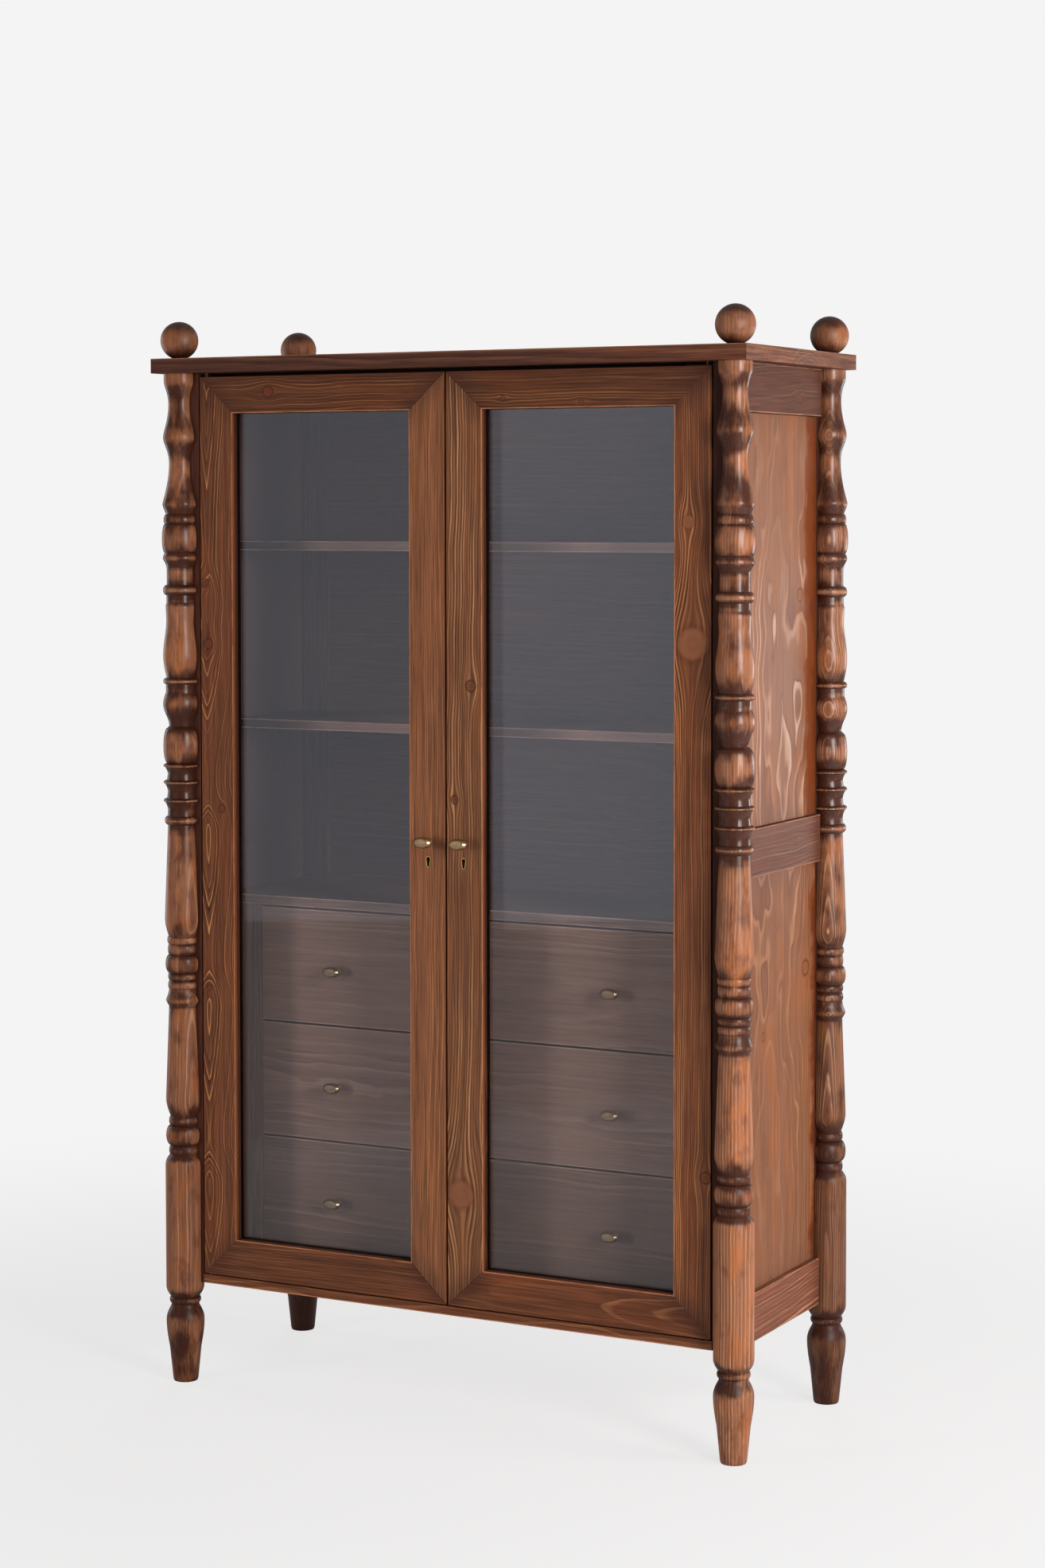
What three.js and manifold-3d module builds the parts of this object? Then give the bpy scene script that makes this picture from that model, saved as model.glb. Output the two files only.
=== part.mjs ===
import * as THREE from "three";
import Module from "manifold-3d";
import { mergeVertices } from "three/addons/utils/BufferGeometryUtils.js";

// Spindle hutch: a glazed two-door cupboard between four turned posts, in millimetres.
// The origin is on the floor under the middle of the top board, X to the right, Y to the back, Z up.

// Overall frame
const post_diameter = 72;
const post_spacing_x = 1142;
const post_spacing_y = 419;
const post_top_height = 1909;
const carcass_bottom_height = 191;
const fixed_gap = 0.3;
const cut_overrun = 5;

// Top board and finials
const top_board_thickness = 27.5;
const board_side_overhang = 2;
const board_front_overhang = 4;
const board_back_overhang = 0;
const finial_radius = 35.4;
const finial_flat_depth = 0.6;

// Carcass
const side_panel_thickness = 18;
const side_panel_recess = 10;
const side_rail_height = 86;
const middle_rail_height = 1054;
const front_stile_width = 31.8;
const bottom_board_thickness = 16;
const back_plane_inset = 29.5;
const back_thickness = 18;
const back_stile_width = 58.5;
const back_panel_recess = 3;
const housing_depth = 6;
const shelf_thickness = 18;
const shelf_front_inset = 129.5;
const lower_shelf_level_share = 0.3376;
const upper_shelf_level_share = 0.6818;
const stop_rail_height = 30;
const stop_rail_thickness = 20;
const stop_rail_end_inset = 60;

// Doors
const door_thickness = 26;
const door_side_gap = 3.2;
const door_bottom_gap = 3;
const door_top_gap = 7.5;
const door_meeting_gap = 4;
const hanging_stile_width = 71;
const meeting_stile_width = 73.5;
const door_top_rail_width = 68;
const door_bottom_rail_width = 70;
const glass_thickness = 4;
const glass_setback = 17;
const rebate_width = 8;
const pivot_edge_inset = 10;
const pivot_face_inset = 8;
const pivot_pin_radius = 3;
const pivot_pin_engagement = 12;
const pivot_running_gap = 0.4;

// Door furniture
const knob_length = 35;
const knob_height = 20;
const knob_projection = 30;
const knob_neck_radius = 5.5;
const knob_rose_radius = 9;
const knob_rose_thickness = 3;
const door_knob_offset = 36.6;
const door_knob_height = 1053.5;
const keyhole_drop = 31.5;
const escutcheon_head_radius = 5.4;
const escutcheon_length = 21.5;
const escutcheon_tail_radius = 4;
const escutcheon_wall = 1.6;
const escutcheon_depth = 4;
const key_passage_depth = 14;

// Drawers
const drawer_count = 3;
const drawer_front_inset = 98.5;
const drawer_front_thickness = 20;
const drawer_gap = 4;
const drawer_stack_top_height = 922.3;
const plinth_rail_height = 34.5;
const drawer_filler_width = 83.2;
const drawer_side_gap = 1.5;
const drawer_wall = 12;
const drawer_bottom_thickness = 8;
const drawer_box_rise = 22;
const drawer_box_headroom = 15.5;
const drawer_box_side_gap = 3;
const drawer_back_gap = 17;
const drawer_knob_offset = 291;
const drawer_knob_drop = 4.5;
const drawer_guide_thickness = 16;
const runner_height = 16;
const runner_width = 26;
const runner_end_inset = 6;

// Facets
const post_sides = 12;
const finial_sides = 16;
const finial_steps = 6;
const knob_sides = 10;
const pin_sides = 12;
const arc_steps = 4;

// Places worked out from the sizes above
const post_radius = post_diameter / 2;
const post_x = post_spacing_x / 2;
const overall_depth = post_spacing_y + post_diameter + board_front_overhang + board_back_overhang;
const back_edge_y = overall_depth / 2;
const rear_post_y = back_edge_y - board_back_overhang - post_radius;
const front_post_y = rear_post_y - post_spacing_y;
const door_face_y = front_post_y;
const carcass_top_height = post_top_height;
const side_outer_x = post_x - side_panel_recess;
const side_inner_x = side_outer_x - side_panel_thickness;
const inside_x = side_inner_x - fixed_gap;
const stile_depth = post_radius + fixed_gap;
const front_stile_inner_x = side_outer_x - front_stile_width;
const side_front_y = front_post_y + stile_depth + fixed_gap;
const side_rear_y = rear_post_y - stile_depth - fixed_gap;
const back_front_y = rear_post_y - back_plane_inset;
const inside_rear_y = back_front_y - fixed_gap;
const floor_height = carcass_bottom_height + bottom_board_thickness;
const shelf_front_y = door_face_y + shelf_front_inset;
const door_outer_x = front_stile_inner_x - door_side_gap;
const door_bottom_height = floor_height + door_bottom_gap;
const door_top_height = carcass_top_height - door_top_gap;
const pivot_x = door_outer_x - pivot_edge_inset;
const pivot_y = door_face_y + pivot_face_inset;
const keyhole_height = door_knob_height - keyhole_drop;
const drawer_face_y = door_face_y + drawer_front_inset;
const guide_inner_x = inside_x - drawer_filler_width;
const drawer_half_width = guide_inner_x - drawer_side_gap;
const unit_underside_height = drawer_stack_top_height - shelf_thickness;
const plinth_top_height = floor_height + fixed_gap + plinth_rail_height;
const drawer_pitch = (unit_underside_height - plinth_top_height - drawer_gap) / drawer_count;
const drawer_front_height = drawer_pitch - drawer_gap;
const drawer_box_height = drawer_front_height - drawer_box_rise - drawer_box_headroom;

// The shelves stand at shares of the height between the drawer unit and the top board
const shelf_space_height = carcass_top_height - drawer_stack_top_height;
const lower_shelf_height = drawer_stack_top_height + shelf_space_height * lower_shelf_level_share;
const upper_shelf_height = drawer_stack_top_height + shelf_space_height * upper_shelf_level_share;

// Finishes
const finish = (colour, roughness, metalness, extra = {}) =>
  new THREE.MeshStandardMaterial({ color: colour, roughness, metalness, ...extra });
const stained_pine = finish(0x764a30, 0.5, 0);
const turned_pine = finish(0x6a4030, 0.4, 0);
const panel_pine = finish(0x8a6050, 0.5, 0);
const inner_pine = finish(0x7a5a45, 0.6, 0);
const antique_brass = finish(0x9a8a62, 0.35, 1);
const clear_glass = finish(0x60646a, 0.05, 0, { transparent: true, opacity: 0.35 });

const wasm = await Module();
wasm.setup();

// A closed three.js geometry as a solid that can be joined and cut
function solid(geometry) {
  const bare = geometry.index ? geometry.clone() : mergeVertices(geometry.clone());
  bare.deleteAttribute("normal");
  bare.deleteAttribute("uv");
  const welded = mergeVertices(bare);
  return new wasm.Manifold(
    new wasm.Mesh({
      numProp: 3,
      vertProperties: new Float32Array(welded.attributes.position.array),
      triVerts: new Uint32Array(welded.index.array),
    }),
  );
}

// A joined or cut solid as a three.js geometry
function shape(body) {
  const mesh = body.getMesh();
  const geometry = new THREE.BufferGeometry();
  geometry.setAttribute("position", new THREE.BufferAttribute(new Float32Array(mesh.vertProperties), 3));
  geometry.setIndex(new THREE.BufferAttribute(new Uint32Array(mesh.triVerts), 1));
  geometry.computeVertexNormals();
  return geometry;
}

const cut = (geometry, ...tools) =>
  shape(tools.reduce((body, tool) => body.subtract(solid(tool)), solid(geometry)));
const join = (geometry, ...others) =>
  shape(others.reduce((body, other) => body.add(solid(other)), solid(geometry)));

// A square-edged board between two corners
function board([x_low, y_low, z_low], [x_high, y_high, z_high]) {
  const geometry = new THREE.BoxGeometry(x_high - x_low, y_high - y_low, z_high - z_low);
  geometry.translate((x_low + x_high) / 2, (y_low + y_high) / 2, (z_low + z_high) / 2);
  return geometry;
}

// A board whose far side in X is side (-1 left, 1 right) and whose near side is nearer the middle
function side_board(side, near_x, far_x, [y_low, z_low], [y_high, z_high]) {
  const [x_low, x_high] = side < 0 ? [-far_x, -near_x] : [near_x, far_x];
  return board([x_low, y_low, z_low], [x_high, y_high, z_high]);
}

// An outline of X and Y points, extruded upwards
function flat_board(points, z_low, thickness) {
  const geometry = new THREE.ExtrudeGeometry(new THREE.Shape(points), {
    depth: thickness,
    bevelEnabled: false,
  });
  geometry.translate(0, 0, z_low);
  return geometry;
}

// An outline of X and Z points, extruded towards the back
function upright_board(outline, y_low, thickness) {
  const geometry = new THREE.ExtrudeGeometry(outline, { depth: thickness, bevelEnabled: false });
  geometry.rotateX(Math.PI / 2);
  geometry.translate(0, y_low + thickness, 0);
  return geometry;
}

const upright_cylinder = (radius, x, y, z_low, z_high, sides) => {
  const geometry = new THREE.CylinderGeometry(radius, radius, z_high - z_low, sides);
  geometry.rotateX(Math.PI / 2);
  geometry.translate(x, y, (z_low + z_high) / 2);
  return geometry;
};

function named(name, geometry, material) {
  const mesh = new THREE.Mesh(geometry, material);
  mesh.name = name;
  return mesh;
}

const sides = [
  ["left", -1],
  ["right", 1],
];

// Turned posts
// Each row is a turning, from the floor up: the height where it ends and its radius there, as shares
// of the post's height and radius, then how the outline runs to that point. A bead or a bulb swells to
// the radius share that ends its row.
const post_turning_shares = [
  [0.002, 0.66, "line"],
  [0.034, 0.83, "line"],
  [0.0618, 1, "round_out"],
  [0.0755, 0.74, "round_in"],
  [0.078, 0.72, "line"],
  [0.0845, 0.74, "bead", 0.83],
  [0.0948, 1, "round_out"],
  [0.218, 1, "line"],
  [0.2275, 0.75, "round_in"],
  [0.2365, 0.72, "bead", 0.81],
  [0.2565, 0.72, "bulb", 0.96],
  [0.2655, 0.72, "bead", 0.81],
  [0.2836, 0.95, "round_out"],
  [0.3755, 0.76, "line"],
  [0.381, 0.94, "line"],
  [0.393, 0.76, "hollow_in"],
  [0.401, 0.72, "bead", 0.81],
  [0.4085, 0.74, "bead", 0.81],
  [0.4265, 0.74, "bulb", 0.935],
  [0.437, 0.74, "bead", 0.81],
  [0.445, 0.76, "bead", 0.84],
  [0.4633, 0.95, "round_out"],
  [0.5555, 0.755, "line"],
  [0.5645, 0.76, "bead", 0.935],
  [0.579, 0.76, "line"],
  [0.5815, 0.76, "bead", 0.97],
  [0.597, 0.76, "line"],
  [0.5995, 0.76, "bead", 0.97],
  [0.6135, 0.76, "line"],
  [0.616, 0.76, "bead", 0.97],
  [0.6515, 0.76, "bulb", 0.97],
  [0.6535, 0.66, "line"],
  [0.6751, 0.97, "swell"],
  [0.6868, 0.82, "round_in"],
  [0.6948, 0.82, "line"],
  [0.7013, 0.78, "bead", 0.97],
  [0.7232, 0.95, "round_out"],
  [0.7583, 0.775, "swell"],
  [0.7735, 0.81, "line"],
  [0.7745, 0.76, "line"],
  [0.7825, 0.76, "line"],
  [0.793, 0.74, "bead", 0.947],
  [0.8085, 0.74, "line"],
  [0.819, 0.965, "hollow_out"],
  [0.8245, 0.84, "line"],
  [0.853, 0.82, "bulb", 0.98],
  [0.8625, 0.76, "bead", 0.89],
  [0.8715, 0.955, "line"],
  [0.9125, 0.585, "hollow_in"],
  [0.9368, 0.93, "hollow_out"],
  [0.9708, 0.6, "hollow_in"],
  [0.9905, 0.83, "hollow_out"],
  [1, 0.83, "line"],
];
const bead_steps = 2;
const bulb_steps = 4;
const curve_steps = 2;
const hollow_steps = 3;

// How a turning runs between its ends, for a share t of the way up it
const turning_curves = {
  round_out: (t) => Math.sin((t * Math.PI) / 2),
  round_in: (t) => 1 - Math.cos((t * Math.PI) / 2),
  hollow_in: (t) => Math.sin((t * Math.PI) / 2),
  hollow_out: (t) => 1 - Math.cos((t * Math.PI) / 2),
  swell: (t) => (1 - Math.cos(t * Math.PI)) / 2,
};

function turned_outline(height, radius) {
  const foot_radius_share = 0.62;
  const points = [new THREE.Vector2(0, 0)];
  let [z_from, r_from] = [0, radius * foot_radius_share];
  points.push(new THREE.Vector2(r_from, z_from));
  for (const [height_share, radius_share, form, peak_share] of post_turning_shares) {
    const z_to = height * height_share;
    const r_to = radius * radius_share;
    if (peak_share) {
      const steps = form === "bulb" ? bulb_steps : bead_steps;
      const mean = (r_from + r_to) / 2;
      for (let i = 1; i <= steps; i += 1) {
        const turn = (Math.PI * i) / (steps + 1);
        const along = (1 - Math.cos(turn)) / 2;
        const line_r = r_from + (r_to - r_from) * along;
        const out = (radius * peak_share - mean) * Math.sin(turn);
        points.push(new THREE.Vector2(line_r + out, z_from + (z_to - z_from) * along));
      }
    } else if (form !== "line") {
      const steps = form.startsWith("hollow") ? hollow_steps : curve_steps;
      for (let i = 1; i < steps; i += 1) {
        const t = i / steps;
        const r = r_from + (r_to - r_from) * turning_curves[form](t);
        points.push(new THREE.Vector2(r, z_from + (z_to - z_from) * t));
      }
    }
    points.push(new THREE.Vector2(r_to, z_to));
    [z_from, r_from] = [z_to, r_to];
  }
  points.push(new THREE.Vector2(0, height));
  return points;
}

// A post is whole below the carcass and notched above it, so that the carcass corner stands in the notch
function turned_post(side, is_front) {
  const outline = turned_outline(post_top_height - fixed_gap, post_radius);
  const turned = new THREE.LatheGeometry(outline, post_sides);
  turned.rotateX(Math.PI / 2);
  const far = post_radius + cut_overrun;
  const [y_low, y_high] = is_front ? [-fixed_gap, far] : [-far, fixed_gap];
  const notch_outer_x = side_panel_recess - fixed_gap;
  const [x_low, x_high] = side < 0 ? [notch_outer_x, far] : [-far, -notch_outer_x];
  const notch = board(
    [x_low, y_low, carcass_bottom_height - fixed_gap],
    [x_high, y_high, post_top_height + cut_overrun],
  );
  return cut(turned, notch);
}

function turned_posts() {
  const group = new THREE.Group();
  const ball_foot_height = post_top_height + top_board_thickness + fixed_gap;
  const rows = [
    ["front", front_post_y],
    ["rear", rear_post_y],
  ];
  for (const [side_name, side] of sides) {
    for (const [row, y] of rows) {
      const post = turned_post(side, row === "front");
      post.translate(side * post_x, y, 0);
      group.add(named(`turned_post_${row}_${side_name}`, post, turned_pine));
      const ball = finial_ball();
      ball.translate(side * post_x, y, ball_foot_height);
      group.add(named(`finial_ball_${row}_${side_name}`, ball, turned_pine));
    }
  }
  return group;
}

// A ball with a small flat where it stands on the board
function finial_ball() {
  const start = Math.acos((finial_radius - finial_flat_depth) / finial_radius);
  const centre_height = finial_radius - finial_flat_depth;
  const points = [new THREE.Vector2(0, 0)];
  for (let i = 0; i < finial_steps; i += 1) {
    const turn = start + ((Math.PI - start) * i) / finial_steps;
    points.push(
      new THREE.Vector2(finial_radius * Math.sin(turn), centre_height - finial_radius * Math.cos(turn)),
    );
  }
  points.push(new THREE.Vector2(0, centre_height + finial_radius));
  const ball = new THREE.LatheGeometry(points, finial_sides);
  ball.rotateX(Math.PI / 2);
  return ball;
}

// Top board, with the two pins that the doors' upper ends turn on
function top_board() {
  const half_width = post_x + post_radius + board_side_overhang;
  const slab = board(
    [-half_width, front_post_y - post_radius - board_front_overhang, post_top_height],
    [half_width, back_edge_y, post_top_height + top_board_thickness],
  );
  const pins = sides.map(([, side]) =>
    upright_cylinder(
      pivot_pin_radius,
      side * pivot_x,
      pivot_y,
      door_top_height - pivot_pin_engagement,
      post_top_height + top_board_thickness / 2,
      pin_sides,
    ),
  );
  return named("top_board", join(slab, ...pins), stained_pine);
}

// Bottom board, notched round the front stiles, with the doors' two lower pins
function bottom_board() {
  const notch_x = front_stile_inner_x - fixed_gap;
  const outline = [
    [-notch_x, door_face_y],
    [notch_x, door_face_y],
    [notch_x, side_front_y],
    [inside_x, side_front_y],
    [inside_x, inside_rear_y],
    [-inside_x, inside_rear_y],
    [-inside_x, side_front_y],
    [-notch_x, side_front_y],
  ].map(([x, y]) => new THREE.Vector2(x, y));
  const slab = flat_board(outline, carcass_bottom_height, bottom_board_thickness);
  const pins = sides.map(([, side]) =>
    upright_cylinder(
      pivot_pin_radius,
      side * pivot_x,
      pivot_y,
      carcass_bottom_height + bottom_board_thickness / 2,
      door_bottom_height + pivot_pin_engagement,
      pin_sides,
    ),
  );
  return named("bottom_board", join(slab, ...pins), stained_pine);
}

// Corner stiles, side rails and side panels
function corner_stiles() {
  const group = new THREE.Group();
  const top = carcass_top_height - fixed_gap;
  for (const [side_name, side] of sides) {
    const front = side_board(
      side,
      front_stile_inner_x,
      side_outer_x,
      [front_post_y, carcass_bottom_height],
      [front_post_y + stile_depth, top],
    );
    const rear = side_board(
      side,
      side_inner_x,
      side_outer_x,
      [rear_post_y - stile_depth, carcass_bottom_height],
      [rear_post_y, top],
    );
    group.add(named(`corner_stile_front_${side_name}`, front, stained_pine));
    group.add(named(`corner_stile_rear_${side_name}`, rear, stained_pine));
  }
  return group;
}

const rail_levels = [
  ["bottom", carcass_bottom_height],
  ["middle", middle_rail_height - side_rail_height / 2],
  ["top", carcass_top_height - side_rail_height],
];

// Top height and front edge of each board that is housed in the sides
const housed_levels = [
  [drawer_stack_top_height, drawer_face_y],
  [lower_shelf_height, shelf_front_y],
  [upper_shelf_height, shelf_front_y],
];

// A rail or a panel of a side, grooved across its inner face wherever the end of a shelf meets it
function housed_side(side, outer_x, z_low, z_high) {
  const blank = side_board(side, side_inner_x, outer_x, [side_front_y, z_low], [side_rear_y, z_high]);
  const grooves = housed_levels.map(([top_height, front_y]) =>
    side_board(
      side,
      side_inner_x - cut_overrun,
      side_inner_x + housing_depth,
      [front_y - fixed_gap, top_height - shelf_thickness - fixed_gap],
      [side_rear_y + cut_overrun, top_height + fixed_gap],
    ),
  );
  return cut(blank, ...grooves);
}

function side_rails() {
  const group = new THREE.Group();
  for (const [side_name, side] of sides) {
    for (const [level, z_low] of rail_levels) {
      const z_high = z_low + side_rail_height - (level === "top" ? fixed_gap : 0);
      const rail = housed_side(side, post_x, z_low, z_high);
      group.add(named(`side_rail_${level}_${side_name}`, rail, panel_pine));
    }
  }
  return group;
}

function side_panels() {
  const group = new THREE.Group();
  const spans = {
    lower: [rail_levels[0][1] + side_rail_height, rail_levels[1][1]],
    upper: [rail_levels[1][1] + side_rail_height, rail_levels[2][1]],
  };
  for (const [side_name, side] of sides) {
    for (const level of ["lower", "upper"]) {
      const [z_low, z_high] = spans[level];
      const panel = housed_side(side, side_outer_x, z_low + fixed_gap, z_high - fixed_gap);
      group.add(named(`side_panel_${level}_${side_name}`, panel, panel_pine));
    }
  }
  return group;
}

// Back: two stiles with a panel between them
function back() {
  const group = new THREE.Group();
  const top = carcass_top_height - fixed_gap;
  const panel_x = inside_x - back_stile_width - fixed_gap;
  for (const [side_name, side] of sides) {
    const stile = side_board(
      side,
      inside_x - back_stile_width,
      inside_x,
      [back_front_y, carcass_bottom_height],
      [back_front_y + back_thickness, top],
    );
    group.add(named(`back_stile_${side_name}`, stile, inner_pine));
  }
  const panel = board(
    [-panel_x, back_front_y, carcass_bottom_height],
    [panel_x, back_front_y + back_thickness - back_panel_recess, top],
  );
  group.add(named("back_panel", panel, inner_pine));
  return group;
}

// A shelf with a tongue at each end, stopped short of the rear stile
function housed_shelf(name, top_height, front_y) {
  const tongue_x = inside_x + housing_depth;
  const tongue_rear_y = side_rear_y;
  const outline = [
    [-tongue_x, front_y],
    [tongue_x, front_y],
    [tongue_x, tongue_rear_y],
    [inside_x, tongue_rear_y],
    [inside_x, inside_rear_y],
    [-inside_x, inside_rear_y],
    [-inside_x, tongue_rear_y],
    [-tongue_x, tongue_rear_y],
  ].map(([x, y]) => new THREE.Vector2(x, y));
  return named(name, flat_board(outline, top_height - shelf_thickness, shelf_thickness), inner_pine);
}

// Rail under the top board that the doors close against
function stop_rail() {
  const half_width = pivot_x - stop_rail_end_inset;
  const front_y = door_face_y + door_thickness + fixed_gap;
  const top = carcass_top_height - fixed_gap;
  return named(
    "door_stop_rail",
    board([-half_width, front_y, top - stop_rail_height], [half_width, front_y + stop_rail_thickness, top]),
    inner_pine,
  );
}

// Height of the lower edge of a drawer front, counted from the top
const drawer_bottom = (index) => unit_underside_height - drawer_pitch * (index + 1);

// A filler beside the drawers with the guide board behind it and its three runners
function drawer_guide(side) {
  const z_low = floor_height + fixed_gap;
  const z_high = unit_underside_height - fixed_gap;
  const filler = side_board(
    side,
    guide_inner_x,
    inside_x,
    [drawer_face_y, z_low],
    [drawer_face_y + drawer_front_thickness, z_high],
  );
  const guide = side_board(
    side,
    guide_inner_x,
    guide_inner_x + drawer_guide_thickness,
    [drawer_face_y, z_low],
    [inside_rear_y, z_high],
  );
  const runners = [];
  for (let index = 0; index < drawer_count; index += 1) {
    const runner_top = drawer_bottom(index) + drawer_box_rise - fixed_gap;
    runners.push(
      side_board(
        side,
        guide_inner_x - runner_width,
        guide_inner_x + drawer_guide_thickness / 2,
        [drawer_face_y + drawer_front_thickness + runner_end_inset, runner_top - runner_height],
        [inside_rear_y - runner_end_inset, runner_top],
      ),
    );
  }
  return join(filler, guide, ...runners);
}

function drawer_unit() {
  const group = new THREE.Group();
  group.add(housed_shelf("drawer_unit_top", drawer_stack_top_height, drawer_face_y));
  for (const [side_name, side] of sides) {
    group.add(named(`drawer_guide_${side_name}`, drawer_guide(side), inner_pine));
  }
  const rail_x = guide_inner_x - fixed_gap;
  const plinth = board(
    [-rail_x, drawer_face_y, floor_height + fixed_gap],
    [rail_x, drawer_face_y + drawer_front_thickness, plinth_top_height],
  );
  group.add(named("plinth_rail", plinth, inner_pine));
  return group;
}

// Oval turned pull: a rose, a waisted neck and a domed head, standing out towards -Y from the face
function oval_pull() {
  const head_radius = knob_height / 2;
  const neck_foot_share = 0.2;
  const neck_top_share = 0.42;
  const head_widest_share = 0.66;
  const head_shoulder_share = 0.9;
  const shoulder_radius_share = 0.78;
  const crown_radius_share = 0.4;
  const outline = [
    [0, 0],
    [knob_rose_radius, 0],
    [knob_rose_radius, knob_rose_thickness],
    [knob_neck_radius, knob_projection * neck_foot_share],
    [knob_neck_radius, knob_projection * neck_top_share],
    [head_radius, knob_projection * head_widest_share],
    [head_radius * shoulder_radius_share, knob_projection * head_shoulder_share],
    [head_radius * crown_radius_share, knob_projection],
    [0, knob_projection],
  ].map(([radius, along]) => new THREE.Vector2(radius, along));
  const pull = new THREE.LatheGeometry(outline, knob_sides);
  pull.rotateX(Math.PI);
  // Only the head is drawn out sideways, so the neck and the rose stay round
  const stretch = knob_length / knob_height;
  const position = pull.attributes.position;
  for (let i = 0; i < position.count; i += 1) {
    const along = -position.getY(i);
    if (along > knob_projection * neck_top_share + fixed_gap) position.setX(i, position.getX(i) * stretch);
  }
  return pull;
}

// Outline of the keyhole plate: a round head with a tail below it that ends in a smaller round. All of it
// is wider by growth.
function keyhole_outline(x, growth) {
  const tail_height = keyhole_height - (escutcheon_length - escutcheon_head_radius - escutcheon_tail_radius);
  const lean = Math.PI / 8;
  const outline = new THREE.Shape();
  outline.absarc(x, keyhole_height, escutcheon_head_radius + growth, -lean, Math.PI + lean, false);
  outline.absarc(x, tail_height, escutcheon_tail_radius + growth, Math.PI, 2 * Math.PI, false);
  return new THREE.Shape(outline.getPoints(arc_steps));
}

function escutcheon(x) {
  const ring = keyhole_outline(x, 0);
  const hole = keyhole_outline(x, -escutcheon_wall);
  const plate = upright_board(ring, door_face_y, escutcheon_depth);
  const opening = upright_board(hole, door_face_y - cut_overrun, escutcheon_depth + 2 * cut_overrun);
  return cut(plate, opening);
}

function keyhole_pocket(x) {
  const outline = keyhole_outline(x, fixed_gap);
  return upright_board(outline, door_face_y - cut_overrun, key_passage_depth + cut_overrun);
}

// One door: four mitred members, rebated at the back for the glass
function door(side_name, side) {
  const group = new THREE.Group();
  const outer = {
    hang: door_outer_x,
    meet: door_meeting_gap / 2,
    top: door_top_height,
    bottom: door_bottom_height,
  };
  const inner = {
    hang: outer.hang - hanging_stile_width,
    meet: outer.meet + meeting_stile_width,
    top: outer.top - door_top_rail_width,
    bottom: outer.bottom + door_bottom_rail_width,
  };
  const corners = (edge, shift) => ({
    hang_top: new THREE.Vector2(side * (edge.hang - shift), edge.top),
    hang_bottom: new THREE.Vector2(side * (edge.hang - shift), edge.bottom),
    meet_top: new THREE.Vector2(side * (edge.meet + shift), edge.top),
    meet_bottom: new THREE.Vector2(side * (edge.meet + shift), edge.bottom),
  });
  const stile_out = corners(outer, 0);
  const stile_in = corners(inner, 0);
  const rail_out = corners(outer, fixed_gap);
  const rail_in = corners(inner, fixed_gap);
  const members = {
    hanging_stile: [stile_out.hang_bottom, stile_out.hang_top, stile_in.hang_top, stile_in.hang_bottom],
    meeting_stile: [stile_out.meet_bottom, stile_out.meet_top, stile_in.meet_top, stile_in.meet_bottom],
    top_rail: [rail_out.hang_top, rail_out.meet_top, rail_in.meet_top, rail_in.hang_top],
    bottom_rail: [rail_out.hang_bottom, rail_out.meet_bottom, rail_in.meet_bottom, rail_in.hang_bottom],
  };
  const rebate = side_board(
    side,
    inner.meet - rebate_width,
    inner.hang + rebate_width,
    [door_face_y + glass_setback, inner.bottom - rebate_width],
    [door_face_y + door_thickness + cut_overrun, inner.top + rebate_width],
  );
  const socket_reach = pivot_pin_engagement + pivot_running_gap;
  const socket_radius = pivot_pin_radius + pivot_running_gap;
  const sockets = [
    [outer.bottom - cut_overrun, outer.bottom + socket_reach],
    [outer.top - socket_reach, outer.top + cut_overrun],
  ].map(([low, high]) => upright_cylinder(socket_radius, side * pivot_x, pivot_y, low, high, pin_sides));
  for (const [member_name, points] of Object.entries(members)) {
    const blank = upright_board(new THREE.Shape(points), door_face_y, door_thickness);
    const tools = [rebate];
    if (member_name !== "meeting_stile") tools.push(...sockets);
    if (member_name === "meeting_stile") tools.push(keyhole_pocket(side * door_knob_offset));
    group.add(named(`door_${side_name}_${member_name}`, cut(blank, ...tools), stained_pine));
  }
  const pane = side_board(
    side,
    inner.meet - rebate_width + fixed_gap,
    inner.hang + rebate_width - fixed_gap,
    [door_face_y + glass_setback + fixed_gap, inner.bottom - rebate_width + fixed_gap],
    [door_face_y + glass_setback + fixed_gap + glass_thickness, inner.top + rebate_width - fixed_gap],
  );
  group.add(named(`door_${side_name}_glass`, pane, clear_glass));
  const knob = named(`door_${side_name}_knob`, oval_pull(), antique_brass);
  knob.position.set(side * door_knob_offset, door_face_y - fixed_gap, door_knob_height);
  group.add(knob);
  group.add(named(`door_${side_name}_escutcheon`, escutcheon(side * door_knob_offset), antique_brass));
  return group;
}

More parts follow.
